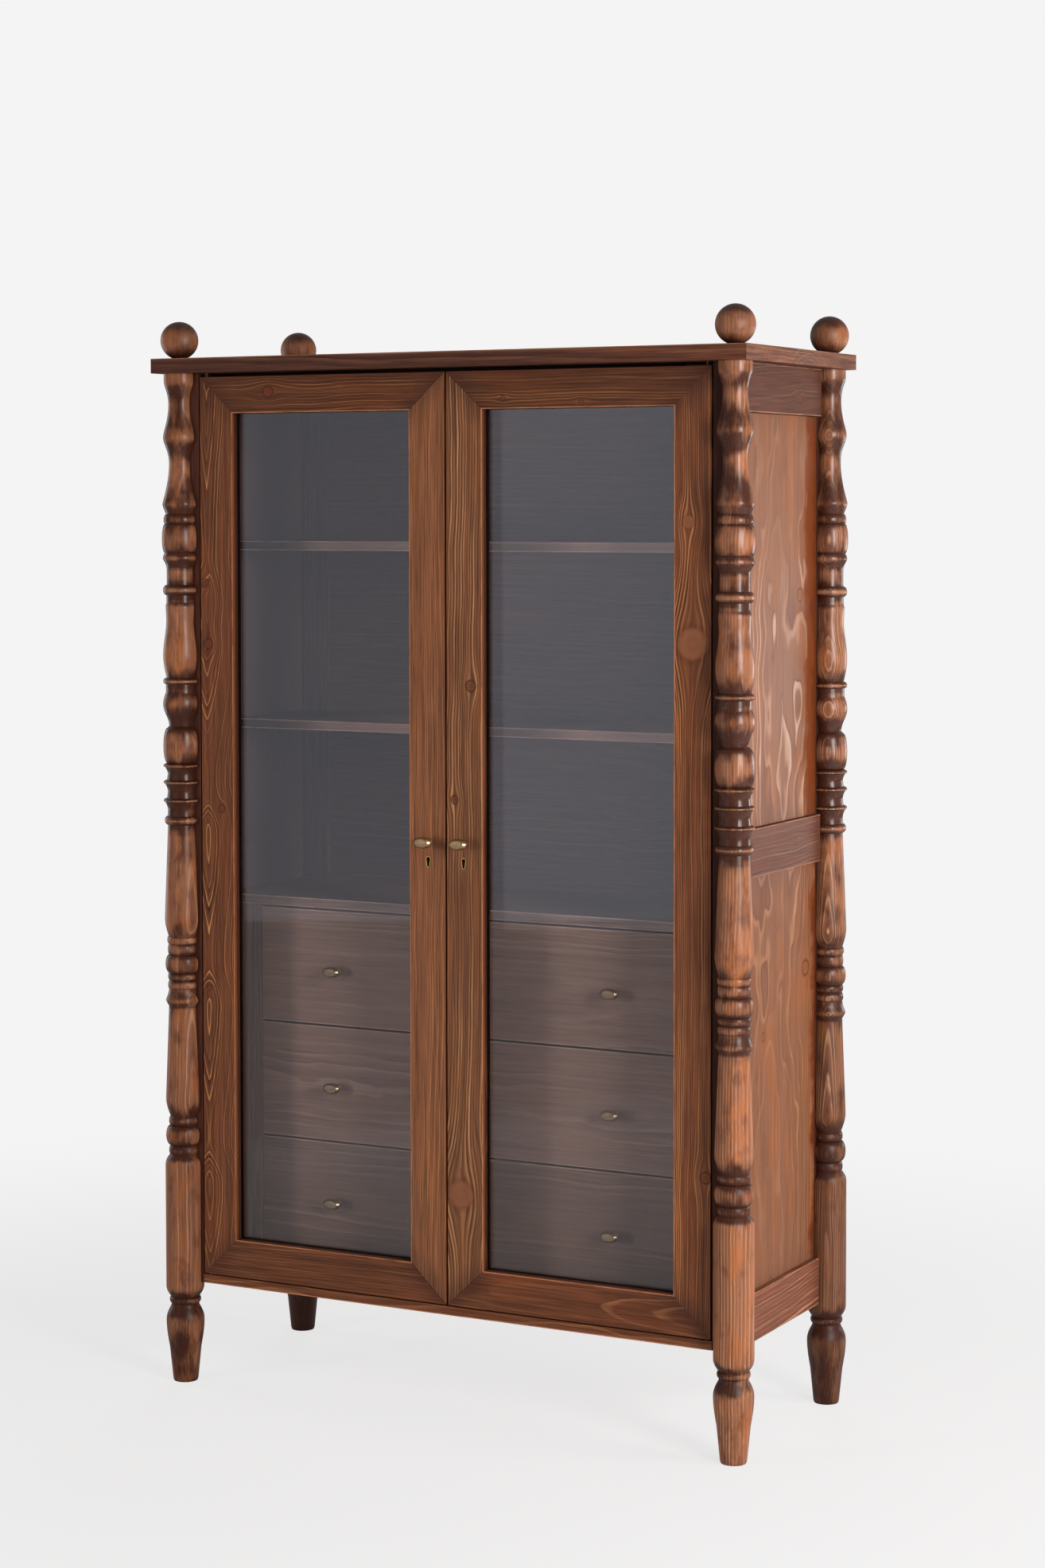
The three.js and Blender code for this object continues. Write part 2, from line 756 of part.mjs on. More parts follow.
// One drawer: its front, an open box behind it and two pulls
function drawer(drawer_name, index) {
  const group = new THREE.Group();
  const z_low = drawer_bottom(index);
  const front_back_y = drawer_face_y + drawer_front_thickness;
  const front = board(
    [-drawer_half_width, drawer_face_y, z_low],
    [drawer_half_width, front_back_y, z_low + drawer_front_height],
  );
  group.add(named(`${drawer_name}_front`, front, inner_pine));
  const box_x = guide_inner_x - drawer_box_side_gap;
  const box_low = z_low + drawer_box_rise;
  const box_front_y = front_back_y + fixed_gap;
  const box_rear_y = inside_rear_y - drawer_back_gap;
  const box = board([-box_x, box_front_y, box_low], [box_x, box_rear_y, box_low + drawer_box_height]);
  const hollow = board(
    [-box_x + drawer_wall, box_front_y + drawer_wall, box_low + drawer_bottom_thickness],
    [box_x - drawer_wall, box_rear_y - drawer_wall, box_low + drawer_box_height + cut_overrun],
  );
  group.add(named(`${drawer_name}_box`, cut(box, hollow), inner_pine));
  for (const [side_name, side] of sides) {
    const knob = named(`${drawer_name}_knob_${side_name}`, oval_pull(), antique_brass);
    const knob_z = z_low + drawer_front_height / 2 - drawer_knob_drop;
    knob.position.set(side * drawer_knob_offset, drawer_face_y - fixed_gap, knob_z);
    group.add(knob);
  }
  return group;
}

const hutch = new THREE.Group();
hutch.add(turned_posts(), top_board(), bottom_board(), corner_stiles(), side_rails(), side_panels(), back());
hutch.add(housed_shelf("shelf_upper", upper_shelf_height, shelf_front_y));
hutch.add(housed_shelf("shelf_lower", lower_shelf_height, shelf_front_y));
hutch.add(stop_rail(), drawer_unit());
for (const [side_name, side] of sides) hutch.add(door(side_name, side));
["drawer_top", "drawer_middle", "drawer_bottom"].forEach((name, index) => hutch.add(drawer(name, index)));

export default hutch;
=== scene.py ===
"""The looks of the spindle hutch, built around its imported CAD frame.

Every length is in metres, in the frame of the part: the origin on the floor under the middle of the top
board, Z up and the doors towards -Y.
"""

import logging
import math
from collections.abc import Callable
from dataclasses import dataclass, field
from enum import Enum

import bpy
from mathutils import Matrix, Vector


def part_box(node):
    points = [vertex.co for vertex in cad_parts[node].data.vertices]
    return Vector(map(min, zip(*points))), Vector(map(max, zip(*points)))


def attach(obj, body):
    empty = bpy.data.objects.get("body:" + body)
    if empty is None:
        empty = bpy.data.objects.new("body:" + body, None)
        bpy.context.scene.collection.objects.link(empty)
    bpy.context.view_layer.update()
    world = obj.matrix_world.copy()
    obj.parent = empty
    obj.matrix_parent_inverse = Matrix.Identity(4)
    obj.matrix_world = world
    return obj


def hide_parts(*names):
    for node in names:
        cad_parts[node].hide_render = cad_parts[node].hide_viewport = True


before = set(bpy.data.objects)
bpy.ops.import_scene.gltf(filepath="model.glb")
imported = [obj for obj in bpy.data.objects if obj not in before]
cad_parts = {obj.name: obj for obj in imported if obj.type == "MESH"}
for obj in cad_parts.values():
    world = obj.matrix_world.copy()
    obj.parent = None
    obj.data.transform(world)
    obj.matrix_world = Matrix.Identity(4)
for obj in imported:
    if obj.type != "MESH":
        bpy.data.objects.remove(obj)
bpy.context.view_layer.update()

log = logging.getLogger("spindle_hutch")

Colour = tuple[float, float, float]
Socket = bpy.types.NodeSocket
Value = Socket | float

MERGE_DISTANCE = 0.00001


def paint(red: float, green: float, blue: float) -> Colour:
    """Turns a colour of 0 to 255 a channel into the linear one that shaders work in.

    Args:
        red, green, blue: the colour as a screen shows it.

    Returns:
        The three linear channels.
    """
    def linear(channel: float) -> float:
        """Returns one channel without the screen's curve."""
        share = channel / 255.0
        return share / 12.92 if share <= 0.04045 else ((share + 0.055) / 1.055) ** 2.4

    return linear(red), linear(green), linear(blue)


class Axis(Enum):
    """A direction of the part, and where it stands in a vector."""

    X = 0
    Y = 1
    Z = 2


class Slot(Enum):
    """The record's material slots, but for the glass, whose CAD nodes keep theirs."""

    TURNED = "turned_wood"
    STAINED = "stained_wood"
    PANEL = "panel_wood"
    INNER = "inner_wood"
    BRASS = "brass"


class Graph:
    """A material's or the world's node tree, written as sums."""

    def __init__(self, tree: bpy.types.NodeTree) -> None:
        """Takes an empty node tree to write in."""
        self.tree = tree

    def node(self, kind: str, **settings: object) -> bpy.types.Node:
        """Adds a node.

        Args:
            kind: Blender's name for the node.
            settings: properties of the node.

        Returns:
            The node.
        """
        made = self.tree.nodes.new(kind)
        for name, value in settings.items():
            setattr(made, name, value)
        return made

    def feed(self, target: Socket, value: object) -> None:
        """Links a socket to an input, or sets the input to a value."""
        if isinstance(value, bpy.types.NodeSocket):
            self.tree.links.new(value, target)
        else:
            target.default_value = value

    def math(self, operation: str, *values: Value, clamp: bool = False) -> Socket:
        """Adds one step of arithmetic.

        Args:
            operation: the Math node's operation.
            values: its inputs.
            clamp: whether the result is held between 0 and 1.

        Returns:
            The result.
        """
        made = self.node("ShaderNodeMath", operation=operation, use_clamp=clamp)
        for target, value in zip(made.inputs, values):
            self.feed(target, value)
        return made.outputs[0]

    def add(self, *values: Value) -> Socket:
        """Returns the sum of two or more values."""
        total = values[0]
        for value in values[1:]:
            total = self.math("ADD", total, value)
        return total

    def times(self, *values: Value) -> Socket:
        """Returns the product of two or more values."""
        total = values[0]
        for value in values[1:]:
            total = self.math("MULTIPLY", total, value)
        return total

    def less(self, value: Value, taken: Value) -> Socket:
        """Returns the difference of two values."""
        return self.math("SUBTRACT", value, taken)

    def smooth(self, value: Value, low: float, high: float, out: tuple[float, float] = (0.0, 1.0)) -> Socket:
        """Maps a value smoothly from one range to another.

        Args:
            value: the value.
            low, high: where the change starts and ends.
            out: the results at the two ends.

        Returns:
            The mapped value.
        """
        made = self.node("ShaderNodeMapRange", interpolation_type="SMOOTHSTEP", clamp=True)
        for name, given in (
            ("Value", value), ("From Min", low), ("From Max", high), ("To Min", out[0]), ("To Max", out[1]),
        ):
            self.feed(made.inputs[name], given)
        return made.outputs["Result"]

    def vector(self, x: Value, y: Value, z: Value) -> Socket:
        """Returns a vector of three values."""
        made = self.node("ShaderNodeCombineXYZ")
        for target, value in zip(made.inputs, (x, y, z)):
            self.feed(target, value)
        return made.outputs[0]

    def noise(self, place: Socket, detail: float = 2.0, roughness: float = 0.5) -> Socket:
        """Returns soft noise of 0 to 1 at a place, one swell for each unit of it."""
        made = self.node("ShaderNodeTexNoise", noise_dimensions="3D", normalize=True)
        self.feed(made.inputs["Vector"], place)
        self.feed(made.inputs["Scale"], 1.0)
        self.feed(made.inputs["Detail"], detail)
        self.feed(made.inputs["Roughness"], roughness)
        return made.outputs["Fac"]

    def chance(self, value: Value) -> Socket:
        """Returns a fixed value between 0 and 1 for each whole number."""
        made = self.node("ShaderNodeTexWhiteNoise", noise_dimensions="1D")
        self.feed(made.inputs["W"], value)
        return made.outputs["Value"]

    def curve(self, value: Value, stops: tuple[tuple[float, float], ...], eased: bool = False) -> Socket:
        """Runs a value through a curve of straight pieces.

        Args:
            value: the value, 0 to 1.
            stops: places along it and the result at each.
            eased: whether the corners between the pieces are rounded.

        Returns:
            The result.
        """
        made = self.node("ShaderNodeValToRGB")
        elements = made.color_ramp.elements
        if eased:
            made.color_ramp.interpolation = "B_SPLINE"
        while len(elements) < len(stops):
            elements.new(0.5)
        for element, (place, level) in zip(elements, stops):
            element.position = place
            element.color = (level, level, level, 1.0)
        self.feed(made.inputs["Fac"], value)
        return made.outputs["Color"]

    def blend(self, share: Value, first: object, second: object, how: str = "MIX") -> Socket:
        """Mixes two colours.

        Args:
            share: how much of the second there is.
            first, second: colours or sockets.
            how: Blender's name for the way of mixing.

        Returns:
            The mixed colour.
        """
        made = self.node("ShaderNodeMix", data_type="RGBA", blend_type=how, clamp_factor=True)
        for place, given in ((0, share), (6, first), (7, second)):
            wide = (*given, 1.0) if isinstance(given, tuple) else given
            self.feed(made.inputs[place], wide)
        return made.outputs[2]

    def object_place(self, centre: Vector) -> tuple[Socket, Socket, Socket]:
        """Returns the three coordinates of a place on the piece, measured from a centre."""
        read = self.node("ShaderNodeTexCoord")
        mapping = self.node("ShaderNodeMapping", vector_type="POINT")
        self.feed(mapping.inputs["Vector"], read.outputs["Object"])
        mapping.inputs["Location"].default_value = -centre
        parts = self.node("ShaderNodeSeparateXYZ")
        self.feed(parts.inputs[0], mapping.outputs[0])
        return parts.outputs[0], parts.outputs[1], parts.outputs[2]

    def painted(self, name: str) -> Socket:
        """Returns a value that the mesh carries under a name."""
        return self.node("ShaderNodeAttribute", attribute_name=name).outputs["Fac"]

    def apart(self, first: Value, second: Value) -> Socket:
        """Returns how far a place lies from a point, from how far it lies off in two directions."""
        squares = self.add(self.math("POWER", first, 2.0), self.math("POWER", second, 2.0))
        return self.math("SQRT", squares)

    def seen(self) -> tuple[Socket, Socket]:
        """Returns whether the camera sees a place, straight or through glass, and whether a gloss does."""
        path = self.node("ShaderNodeLightPath")
        straight = self.math("MAXIMUM", path.outputs["Is Camera Ray"], path.outputs["Is Transmission Ray"])
        return straight, path.outputs["Is Glossy Ray"]

    def lit(self, kind: str, colour: Colour, strength: float) -> bpy.types.Node:
        """Adds a background or an emission of a colour and a strength, and returns it."""
        made = self.node(kind)
        made.inputs["Color"].default_value = (*colour, 1.0)
        made.inputs["Strength"].default_value = strength
        return made

    def mix(self, share: Value, first: bpy.types.Node, second: bpy.types.Node) -> bpy.types.Node:
        """Mixes two shaders by the share of the second, and returns the node that does."""
        made = self.node("ShaderNodeMixShader")
        for target, value in zip(made.inputs, (share, first.outputs[0], second.outputs[0])):
            self.feed(target, value)
        return made

    def show(self, last: bpy.types.Node, kind: str = "ShaderNodeOutputMaterial") -> None:
        """Ends the tree with an output that shows its last shader."""
        self.feed(self.node(kind).inputs["Surface"], last.outputs[0])

    def emboss(self, shader: bpy.types.Node, height: Value, strength: float, depth: float) -> None:
        """Gives a shader a fine relief.

        Args:
            shader: the shader.
            height: the relief's height, 0 to 1.
            strength: how much of it shows.
            depth: how deep it is.
        """
        bump = self.node("ShaderNodeBump")
        bump.inputs["Strength"].default_value = strength
        bump.inputs["Distance"].default_value = depth
        self.feed(bump.inputs["Height"], height)
        self.feed(shader.inputs["Normal"], bump.outputs[0])


def blank_material(name: str) -> tuple[bpy.types.Material, Graph]:
    """Makes a material with an empty node tree, and returns both."""
    material = bpy.data.materials.new(name)
    material.use_nodes = True
    material.node_tree.nodes.clear()
    return material, Graph(material.node_tree)


def new_material(name: str) -> tuple[bpy.types.Material, Graph, bpy.types.Node]:
    """Makes a material with one main shader.

    Args:
        name: the material's name.

    Returns:
        The material, its graph and its main shader.
    """
    material, graph = blank_material(name)
    shader = graph.node("ShaderNodeBsdfPrincipled")
    graph.show(shader)
    return material, graph, shader


# Finishes

# How many swells of noise a metre across the grain holds
FIBRE_RATE = 420.0
STREAK_RATE = 130.0
TURNED_FIBRE_RATE = 430.0
TURNED_STREAK_RATE = 120.0


@dataclass(frozen=True)
class Stain:
    """The colours that one coat of stain gives on softwood, and how its lacquer shines."""

    ground: Colour = paint(97, 55, 34)
    groove: Colour = paint(46, 22, 14)
    line: Colour = paint(164, 110, 68)
    warm: Colour = paint(106, 55, 29)
    cool: Colour = paint(58, 30, 23)
    rubbed: Colour = paint(194, 128, 92)
    knot: Colour = paint(62, 29, 19)
    pale: Colour = paint(126, 78, 52)
    edge: Colour = paint(112, 58, 26)
    shine: float = 0.2


DOOR_STAIN = Stain()
MEETING_STAIN = Stain(
    ground=paint(97, 59, 38), line=paint(166, 116, 76), warm=paint(104, 61, 34), cool=paint(60, 33, 24),
)
TOP_STAIN = Stain(
    ground=paint(66, 37, 27), groove=paint(40, 21, 16), line=paint(104, 66, 46), warm=paint(80, 42, 24),
    cool=paint(56, 32, 27), rubbed=paint(140, 96, 70), knot=paint(40, 20, 15), shine=0.2,
)
SIDE_STAIN = Stain(
    ground=paint(108, 68, 46), groove=paint(88, 50, 32), line=paint(138, 96, 68), warm=paint(126, 72, 36),
    cool=paint(80, 48, 38), rubbed=paint(150, 104, 78), knot=paint(70, 36, 24), shine=0.16,
)
RAIL_STAIN = Stain(
    ground=paint(90, 51, 36), groove=paint(58, 31, 22), line=paint(130, 86, 62), warm=paint(96, 50, 30),
    cool=paint(66, 38, 32), rubbed=paint(150, 104, 80), knot=paint(54, 28, 20), shine=0.14,
)
CORNER_STAIN = Stain(
    ground=paint(64, 35, 26), groove=paint(40, 20, 14), line=paint(88, 52, 40), warm=paint(70, 36, 24),
    cool=paint(46, 25, 19), rubbed=paint(96, 58, 44), knot=paint(38, 19, 14), shine=0.1,
)
INNER_STAIN = Stain(
    ground=paint(142, 112, 96), groove=paint(112, 84, 72), line=paint(170, 138, 120),
    warm=paint(150, 114, 92),
    cool=paint(116, 92, 84), rubbed=paint(196, 160, 140), knot=paint(84, 56, 44), shine=0.3,
)
BACK_STAIN = Stain(
    ground=paint(86, 68, 68), groove=paint(76, 60, 58), line=paint(98, 80, 78), warm=paint(94, 72, 64),
    cool=paint(74, 62, 70), rubbed=paint(104, 86, 80), knot=paint(60, 46, 44), shine=0.1,
)
# Nearly black, as painted shade: it makes the stop rail seen through the gap over the doors read as shadow;
# the glazing beads take it too
SHADE_STAIN = Stain(
    ground=paint(20, 12, 10), groove=paint(16, 10, 8), line=paint(26, 16, 13), warm=paint(24, 14, 11),
    cool=paint(18, 12, 11), rubbed=paint(34, 23, 19), knot=paint(14, 9, 8), shine=0.05,
)


@dataclass(frozen=True)
class Knot:
    """A branch in a board, where it comes out of the face."""

    along: float
    across: float
    radius: float
    pale: bool = False


@dataclass(frozen=True)
class PineBoard:
    """Brushed, stained and lacquered softwood, cut as a board from a log.

    The yearly rings are round the log's heart, which lies outside the board or in it, so a board's faces,
    edges and ends show the same rings.
    """

    stain: Stain = DOOR_STAIN
    grain: Axis = Axis.Z
    thick: Axis = Axis.Y
    heart: tuple[float, float] = (0.0, 0.04)
    lean: tuple[float, float] = (0.0, 0.05)
    ring: float = 0.0042
    wander: float = 0.010
    flutter: float = 0.0022
    contrast: float = 1.0
    relief: float = 1.0
    knots: tuple[Knot, ...] = ()
    end_shade: float = 0.0
    mitre: float = 0.0
    arris: float = 0.7
    seed: float = 0.0
    tone: float = 1.0
    inward: int = 0
    grit: float = 1.0
    band: float = 0.0
    swirl: float = 17.0
    broad: float = 0.16
    path: tuple[tuple[float, float], ...] = ()
    dim: tuple[tuple[float, float], ...] = ()
    edged: float = 0.0
    post_shade: float = 0.0
    jamb: int = 0
    figure: tuple[tuple[float, float], ...] = ()

    def axes(self) -> tuple[int, int, int]:
        """Returns where the grain, the width and the thickness stand in a vector."""
        along, deep = self.grain.value, self.thick.value
        return along, 3 - along - deep, deep

    def material(self, name: str, low: Vector, high: Vector) -> bpy.types.Material:
        """Writes the board's material.

        Args:
            name: the piece's name.
            low, high: the board's corners, in the part's frame.

        Returns:
            The material.
        """
        material, graph, shader = new_material(f"{name}_finish")
        centre = (low + high) / 2
        half = (high - low) / 2
        order = self.axes()
        place = graph.object_place(centre)
        along, across, deep = (place[i] for i in order)
        half_along, half_across, half_deep = (half[i] for i in order)
        across_bent, *knot_marks = self.bend_round_knots(
            graph, along, across, order, centre
        )
        ring_place = self.ring_place(graph, along, across_bent, deep, half_along)
        year = graph.math("FLOOR", ring_place)
        share = graph.math("FRACT", ring_place)
        strength = graph.add(0.1, graph.math("POWER", graph.chance(graph.add(year, self.seed)), 2.0))
        patch = graph.noise(
            graph.vector(graph.times(across, 11.0), graph.add(graph.times(deep, 11.0), self.seed),
                         graph.times(along, 2.6)), 2.0,
        )
        strength = graph.times(strength, graph.smooth(patch, 0.3, 0.62, (0.25, 1.0)), self.contrast)
        if self.path:
            aside = graph.math("ABSOLUTE", graph.add(across, -self.heart[0]))
            strength = graph.times(strength, graph.smooth(aside, 0.014, 0.040, (1.0, 0.62)))
        figured = 1.0
        if self.figure:
            figured = graph.curve(graph.add(0.5, graph.times(along, 0.5 / half_along)), self.figure)
            strength = graph.times(strength, figured)
        line = graph.times(
            graph.curve(share, (
                (0.0, 0.0), (0.88 - self.broad * 1.7, 0.0), (0.92 - self.broad * 0.7, 1.0), (0.92, 1.0),
                (0.97, 0.0))),
            strength,
        )
        groove = graph.times(
            graph.curve(share, ((0.0, 0.9), (0.06, 0.7), (0.3, 0.2), (0.6, 0.0), (0.94, 0.0), (0.99, 0.9))),
            strength,
        )
        fibre = graph.noise(
            graph.vector(graph.times(across_bent, FIBRE_RATE), graph.times(deep, FIBRE_RATE),
                         graph.add(graph.times(along, 9.0), self.seed)), 3.0, 0.7,
        )
        streak = graph.noise(
            graph.vector(graph.times(across_bent, STREAK_RATE),
                         graph.add(graph.times(deep, STREAK_RATE), self.seed),
                         graph.times(along, 2.4)), 3.0, 0.65,
        )
        colour = graph.blend(graph.times(groove, 0.62), self.stain.ground, self.stain.groove)
        colour = self.blotch(graph, colour, along, across, deep)
        colour = graph.blend(graph.times(line, 0.72), colour, self.stain.line)
        tone = graph.times(self.tone, graph.add(
            1.0, graph.times(1.2 * self.grit, graph.less(streak, 0.5)),
            graph.times(0.52 * self.grit, graph.less(graph.smooth(fibre, 0.36, 0.64), 0.5))))
        if self.band:
            other = graph.chance(graph.add(year, self.seed + 0.5))
            tone = graph.times(tone, graph.add(
                1.0, graph.times(self.band, figured, graph.less(other, 0.5))))
        # A tone curve along the board: on the shelves it is painted shadow of the door stiles over their
        # front edges; on the top board it lightens towards the right end
        if self.dim:
            stops = tuple((place, level / 2) for place, level in self.dim)
            place_share = graph.add(0.5, graph.times(along, 0.5 / half_along))
            tone = graph.times(tone, 2.0, graph.curve(place_share, stops))
        colour = graph.blend(1.0, colour, graph.vector(tone, tone, tone), "MULTIPLY")
        colour = self.paint_knots(graph, colour, *knot_marks)
        if self.edged:
            colour = self.edge_ends(graph, colour, along, across, deep, half_along)
        # Painted shade of the rear post along the side panel's rear edge
        if self.post_shade:
            colour = self.paint_post_shade(graph, colour, along, across, half_across)
        colour = self.shade_ends(graph, colour, along, across, (half_along, half_across))
        colour = self.rub_edges(graph, colour, across, deep, along, (half_across, half_deep))
        # The edge faces of the door members keep the edge colour at the front and go dark towards the back:
        # painted shade inside the gaps at the doors' edges
        if self.jamb:
            within = graph.smooth(
                graph.math("ABSOLUTE", across), half_across - 0.0006, half_across - 0.0002, (0.0, 0.85)
            )
            behind = graph.smooth(graph.add(deep, half_deep), 0.004, 0.010)
            colour = graph.blend(within, colour, graph.blend(behind, self.stain.edge, self.stain.groove))
        if self.inward:
            inner = graph.smooth(graph.times(deep, float(self.inward)), half_deep * 0.6, half_deep * 0.9)
            colour = graph.blend(graph.times(0.93, inner), colour, BACK_STAIN.ground)
        graph.feed(shader.inputs["Base Color"], colour)
        gloss = graph.add(0.47, graph.times(-0.09, line), graph.times(0.10, graph.less(fibre, 0.5)))
        graph.feed(shader.inputs["Roughness"], gloss)
        shader.inputs["Specular IOR Level"].default_value = self.stain.shine
        height = graph.add(line, graph.times(-0.9, groove), graph.times(0.7, fibre))
        graph.emboss(shader, height, 0.55 * self.relief, 0.00042)
        return material

    def bend_round_knots(
        self, graph: Graph, along: Socket, across: Socket, order: tuple[int, int, int], centre: Vector
    ) -> tuple[Socket, Value, Value, Value, Value]:
        """Bends the grain round each knot.

        Args:
            graph: the material's graph.
            along, across: the place on the board.
            order: where the grain and the width stand in a vector.
            centre: the board's middle, from which the place is measured.

        Returns:
            The bent place across the board, and how far the place is in a red knot's core, in a pale
            one's, on a rim and through a knot's rings.
        """
        bent = across
        core: Value = 0.0
        pale: Value = 0.0
        rim: Value = 0.0
        rings: Value = 0.0
        for knot in self.knots:
            off_along = graph.less(along, knot.along - centre[order[0]])
            off_across = graph.less(across, knot.across - centre[order[1]])
            far = graph.apart(off_along, off_across)
            reach = graph.apart(graph.times(off_along, 0.55), off_across)
            near = graph.math(
                "EXPONENT", graph.times(
                    -1.0, graph.math("POWER", graph.times(reach, 0.55 / knot.radius), 2.0)
                )
            )
            bent = graph.less(bent, graph.times(off_across, near, 0.92))
            ragged = graph.noise(
                graph.vector(
                    graph.times(off_along, 130.0), graph.times(off_across, 130.0), knot.radius * 900
                ),
                2.0,
            )
            edge = graph.add(far, graph.times(knot.radius * 0.3, graph.less(ragged, 0.5)))
            inside = graph.smooth(edge, knot.radius * 1.0, knot.radius * 0.86)
            if knot.pale:
                pale = graph.add(pale, inside)
            else:
                core = graph.add(core, inside)
            rim = graph.add(rim, graph.times(
                graph.smooth(edge, knot.radius * 1.35, knot.radius * 1.02, (0.0, 0.35 if knot.pale else 1.0)),
                graph.smooth(edge, knot.radius * 0.7, knot.radius * 0.95)))
            rings = graph.add(rings, graph.times(
                inside, 0.3 if knot.pale else 1.0,
                graph.math("PINGPONG", graph.times(edge, 3.2 / knot.radius), 1.0)))
        return bent, core, pale, rim, rings

    def ring_place(self, graph: Graph, along: Socket, across: Socket, deep: Socket, half: float) -> Socket:
        """Counts the years from the heart to a place.

        Args:
            graph: the material's graph.
            along, across, deep: the place on the board.
            half: half the board's length.

        Returns:
            The number of rings, with the share of the last one.
        """
        def swing(rate: float, level: float, start: float) -> Socket:
            """Returns a slow swing along the board, in metres."""
            read = graph.noise(
                graph.vector(graph.add(graph.times(along, rate), self.seed + start), start, self.seed), 2.0
            )
            return graph.times(level, graph.less(read, 0.5))

        off_across = graph.add(across, -self.heart[0], graph.times(along, -self.lean[0]),
                               swing(2.3, self.wander * 2.2, 3.1))
        off_deep = graph.add(deep, -self.heart[1], graph.times(along, -self.lean[1]),
                             swing(1.9, self.wander * 2.2, 8.7))
        if self.path:
            share = graph.add(0.5, graph.times(along, 0.5 / half))
            stops = tuple((place, depth / 0.1) for place, depth in self.path)
            off_deep = graph.less(off_deep, graph.times(0.1, graph.curve(share, stops, True)))
        bluntness = 1.35 if self.path else 2.0
        far = graph.math("POWER", graph.add(
            graph.math("POWER", graph.math("ABSOLUTE", off_across), bluntness),
            graph.math("POWER", graph.math("ABSOLUTE", off_deep), bluntness),
        ), 1.0 / bluntness)
        flutter = graph.noise(
            graph.vector(graph.times(across, self.swirl), graph.add(graph.times(deep, 17.0), self.seed * 1.7),
                         graph.times(along, self.swirl * 0.38)), 3.0, 0.55,
        )
        far = graph.add(far, graph.times(self.flutter * 2.0, graph.less(flutter, 0.5)))
        uneven = graph.noise(graph.vector(graph.times(far, 55.0), self.seed, 0.5), 1.0)
        return graph.add(graph.times(far, 1.0 / self.ring), graph.times(2.0, uneven))

    def blotch(self, graph: Graph, colour: Socket, along: Socket, across: Socket, deep: Socket) -> Socket:
        """Lets the stain take warmer and cooler in places.

        Args:
            graph: the material's graph.
            colour: the colour so far.
            along, across, deep: the place on the board.

        Returns:
            The new colour.
        """
        def patch(rate: float, start: float) -> Socket:
            """Returns slow noise, longer along the grain."""
            return graph.noise(
                graph.vector(graph.times(across, rate), graph.add(graph.times(deep, rate), self.seed + start),
                             graph.times(along, rate * 0.33)), 3.0, 0.6,
            )

        colour = graph.blend(graph.smooth(patch(13.0, 1.3), 0.46, 0.72, (0.0, 0.62)), colour, self.stain.warm)
        return graph.blend(graph.smooth(patch(9.0, 5.9), 0.52, 0.76, (0.0, 0.6)), colour, self.stain.cool)

    def paint_knots(
        self, graph: Graph, colour: Socket, core: Value, pale: Value, rim: Value, rings: Value
    ) -> Socket:
        """Gives each knot its red-brown core, its rings and its dark rim.

        Args:
            graph: the material's graph.
            colour: the colour so far.
            core, pale, rim, rings: how far the place is in each.

        Returns:
            The new colour.
        """
        if not self.knots:
            return colour
        colour = graph.blend(graph.times(core, 0.75), colour, self.stain.warm)
        colour = graph.blend(graph.times(pale, 0.85), colour, self.stain.pale)
        colour = graph.blend(graph.times(rings, 0.5), colour, self.stain.knot)
        return graph.blend(graph.times(rim, 0.72), colour, self.stain.knot)

    def edge_ends(
        self, graph: Graph, colour: Socket, along: Socket, across: Socket, deep: Socket, half: float
    ) -> Socket:
        """Glues an edging strip over each end, its grain running across the board.

        Args:
            graph: the material's graph.
            colour: the colour so far.
            along, across, deep: the place on the board.
            half: half the board's length.

        Returns:
            The new colour.
        """
        streak = graph.noise(
            graph.vector(graph.times(across, 7.0), graph.times(deep, 190.0), self.seed), 3.0, 0.65
        )
        fibre = graph.noise(
            graph.vector(graph.times(across, 30.0), graph.times(deep, 700.0), self.seed + 2), 2.0
        )
        strip = graph.blend(graph.smooth(streak, 0.35, 0.68), self.stain.ground, self.stain.line)
        tone = graph.times(self.edged, graph.add(0.6, graph.times(0.5, fibre), graph.times(0.3, streak)))
        strip = graph.blend(1.0, strip, graph.vector(tone, tone, tone), "MULTIPLY")
        gap = graph.less(half, graph.math("ABSOLUTE", along))
        return graph.blend(graph.smooth(gap, 0.0016, 0.0012), colour, strip)

    def paint_post_shade(self, graph: Graph, colour: Socket, along: Socket, across: Socket, half: float) -> Socket:
        """Paints the rear post's shade along the rear edge: the stain goes darker and warmer there, with a
        ragged edge.

        Args:
            graph: the material's graph.
            colour: the colour so far.
            along, across: the place on the board.
            half: half the board's width.

        Returns:
            The new colour.
        """
        ragged = graph.noise(
            graph.vector(graph.times(along, 15.0), graph.times(across, 9.0), self.seed), 3.0, 0.6
        )
        gap = graph.add(graph.less(half, across), graph.times(0.08, graph.less(ragged, 0.5)))
        # Painted shade: darker and warmer beside the rear post, darker still at the very edge, where the post
        # blocks the light and its sheen
        colour = graph.blend(
            graph.smooth(gap, self.post_shade + 0.005, self.post_shade - 0.010, (0.0, 0.95)), colour, paint(94, 43, 15)
        )
        return graph.blend(
            graph.smooth(gap, self.post_shade * 0.5, self.post_shade * 0.1, (0.0, 0.45)), colour, paint(48, 18, 8)
        )

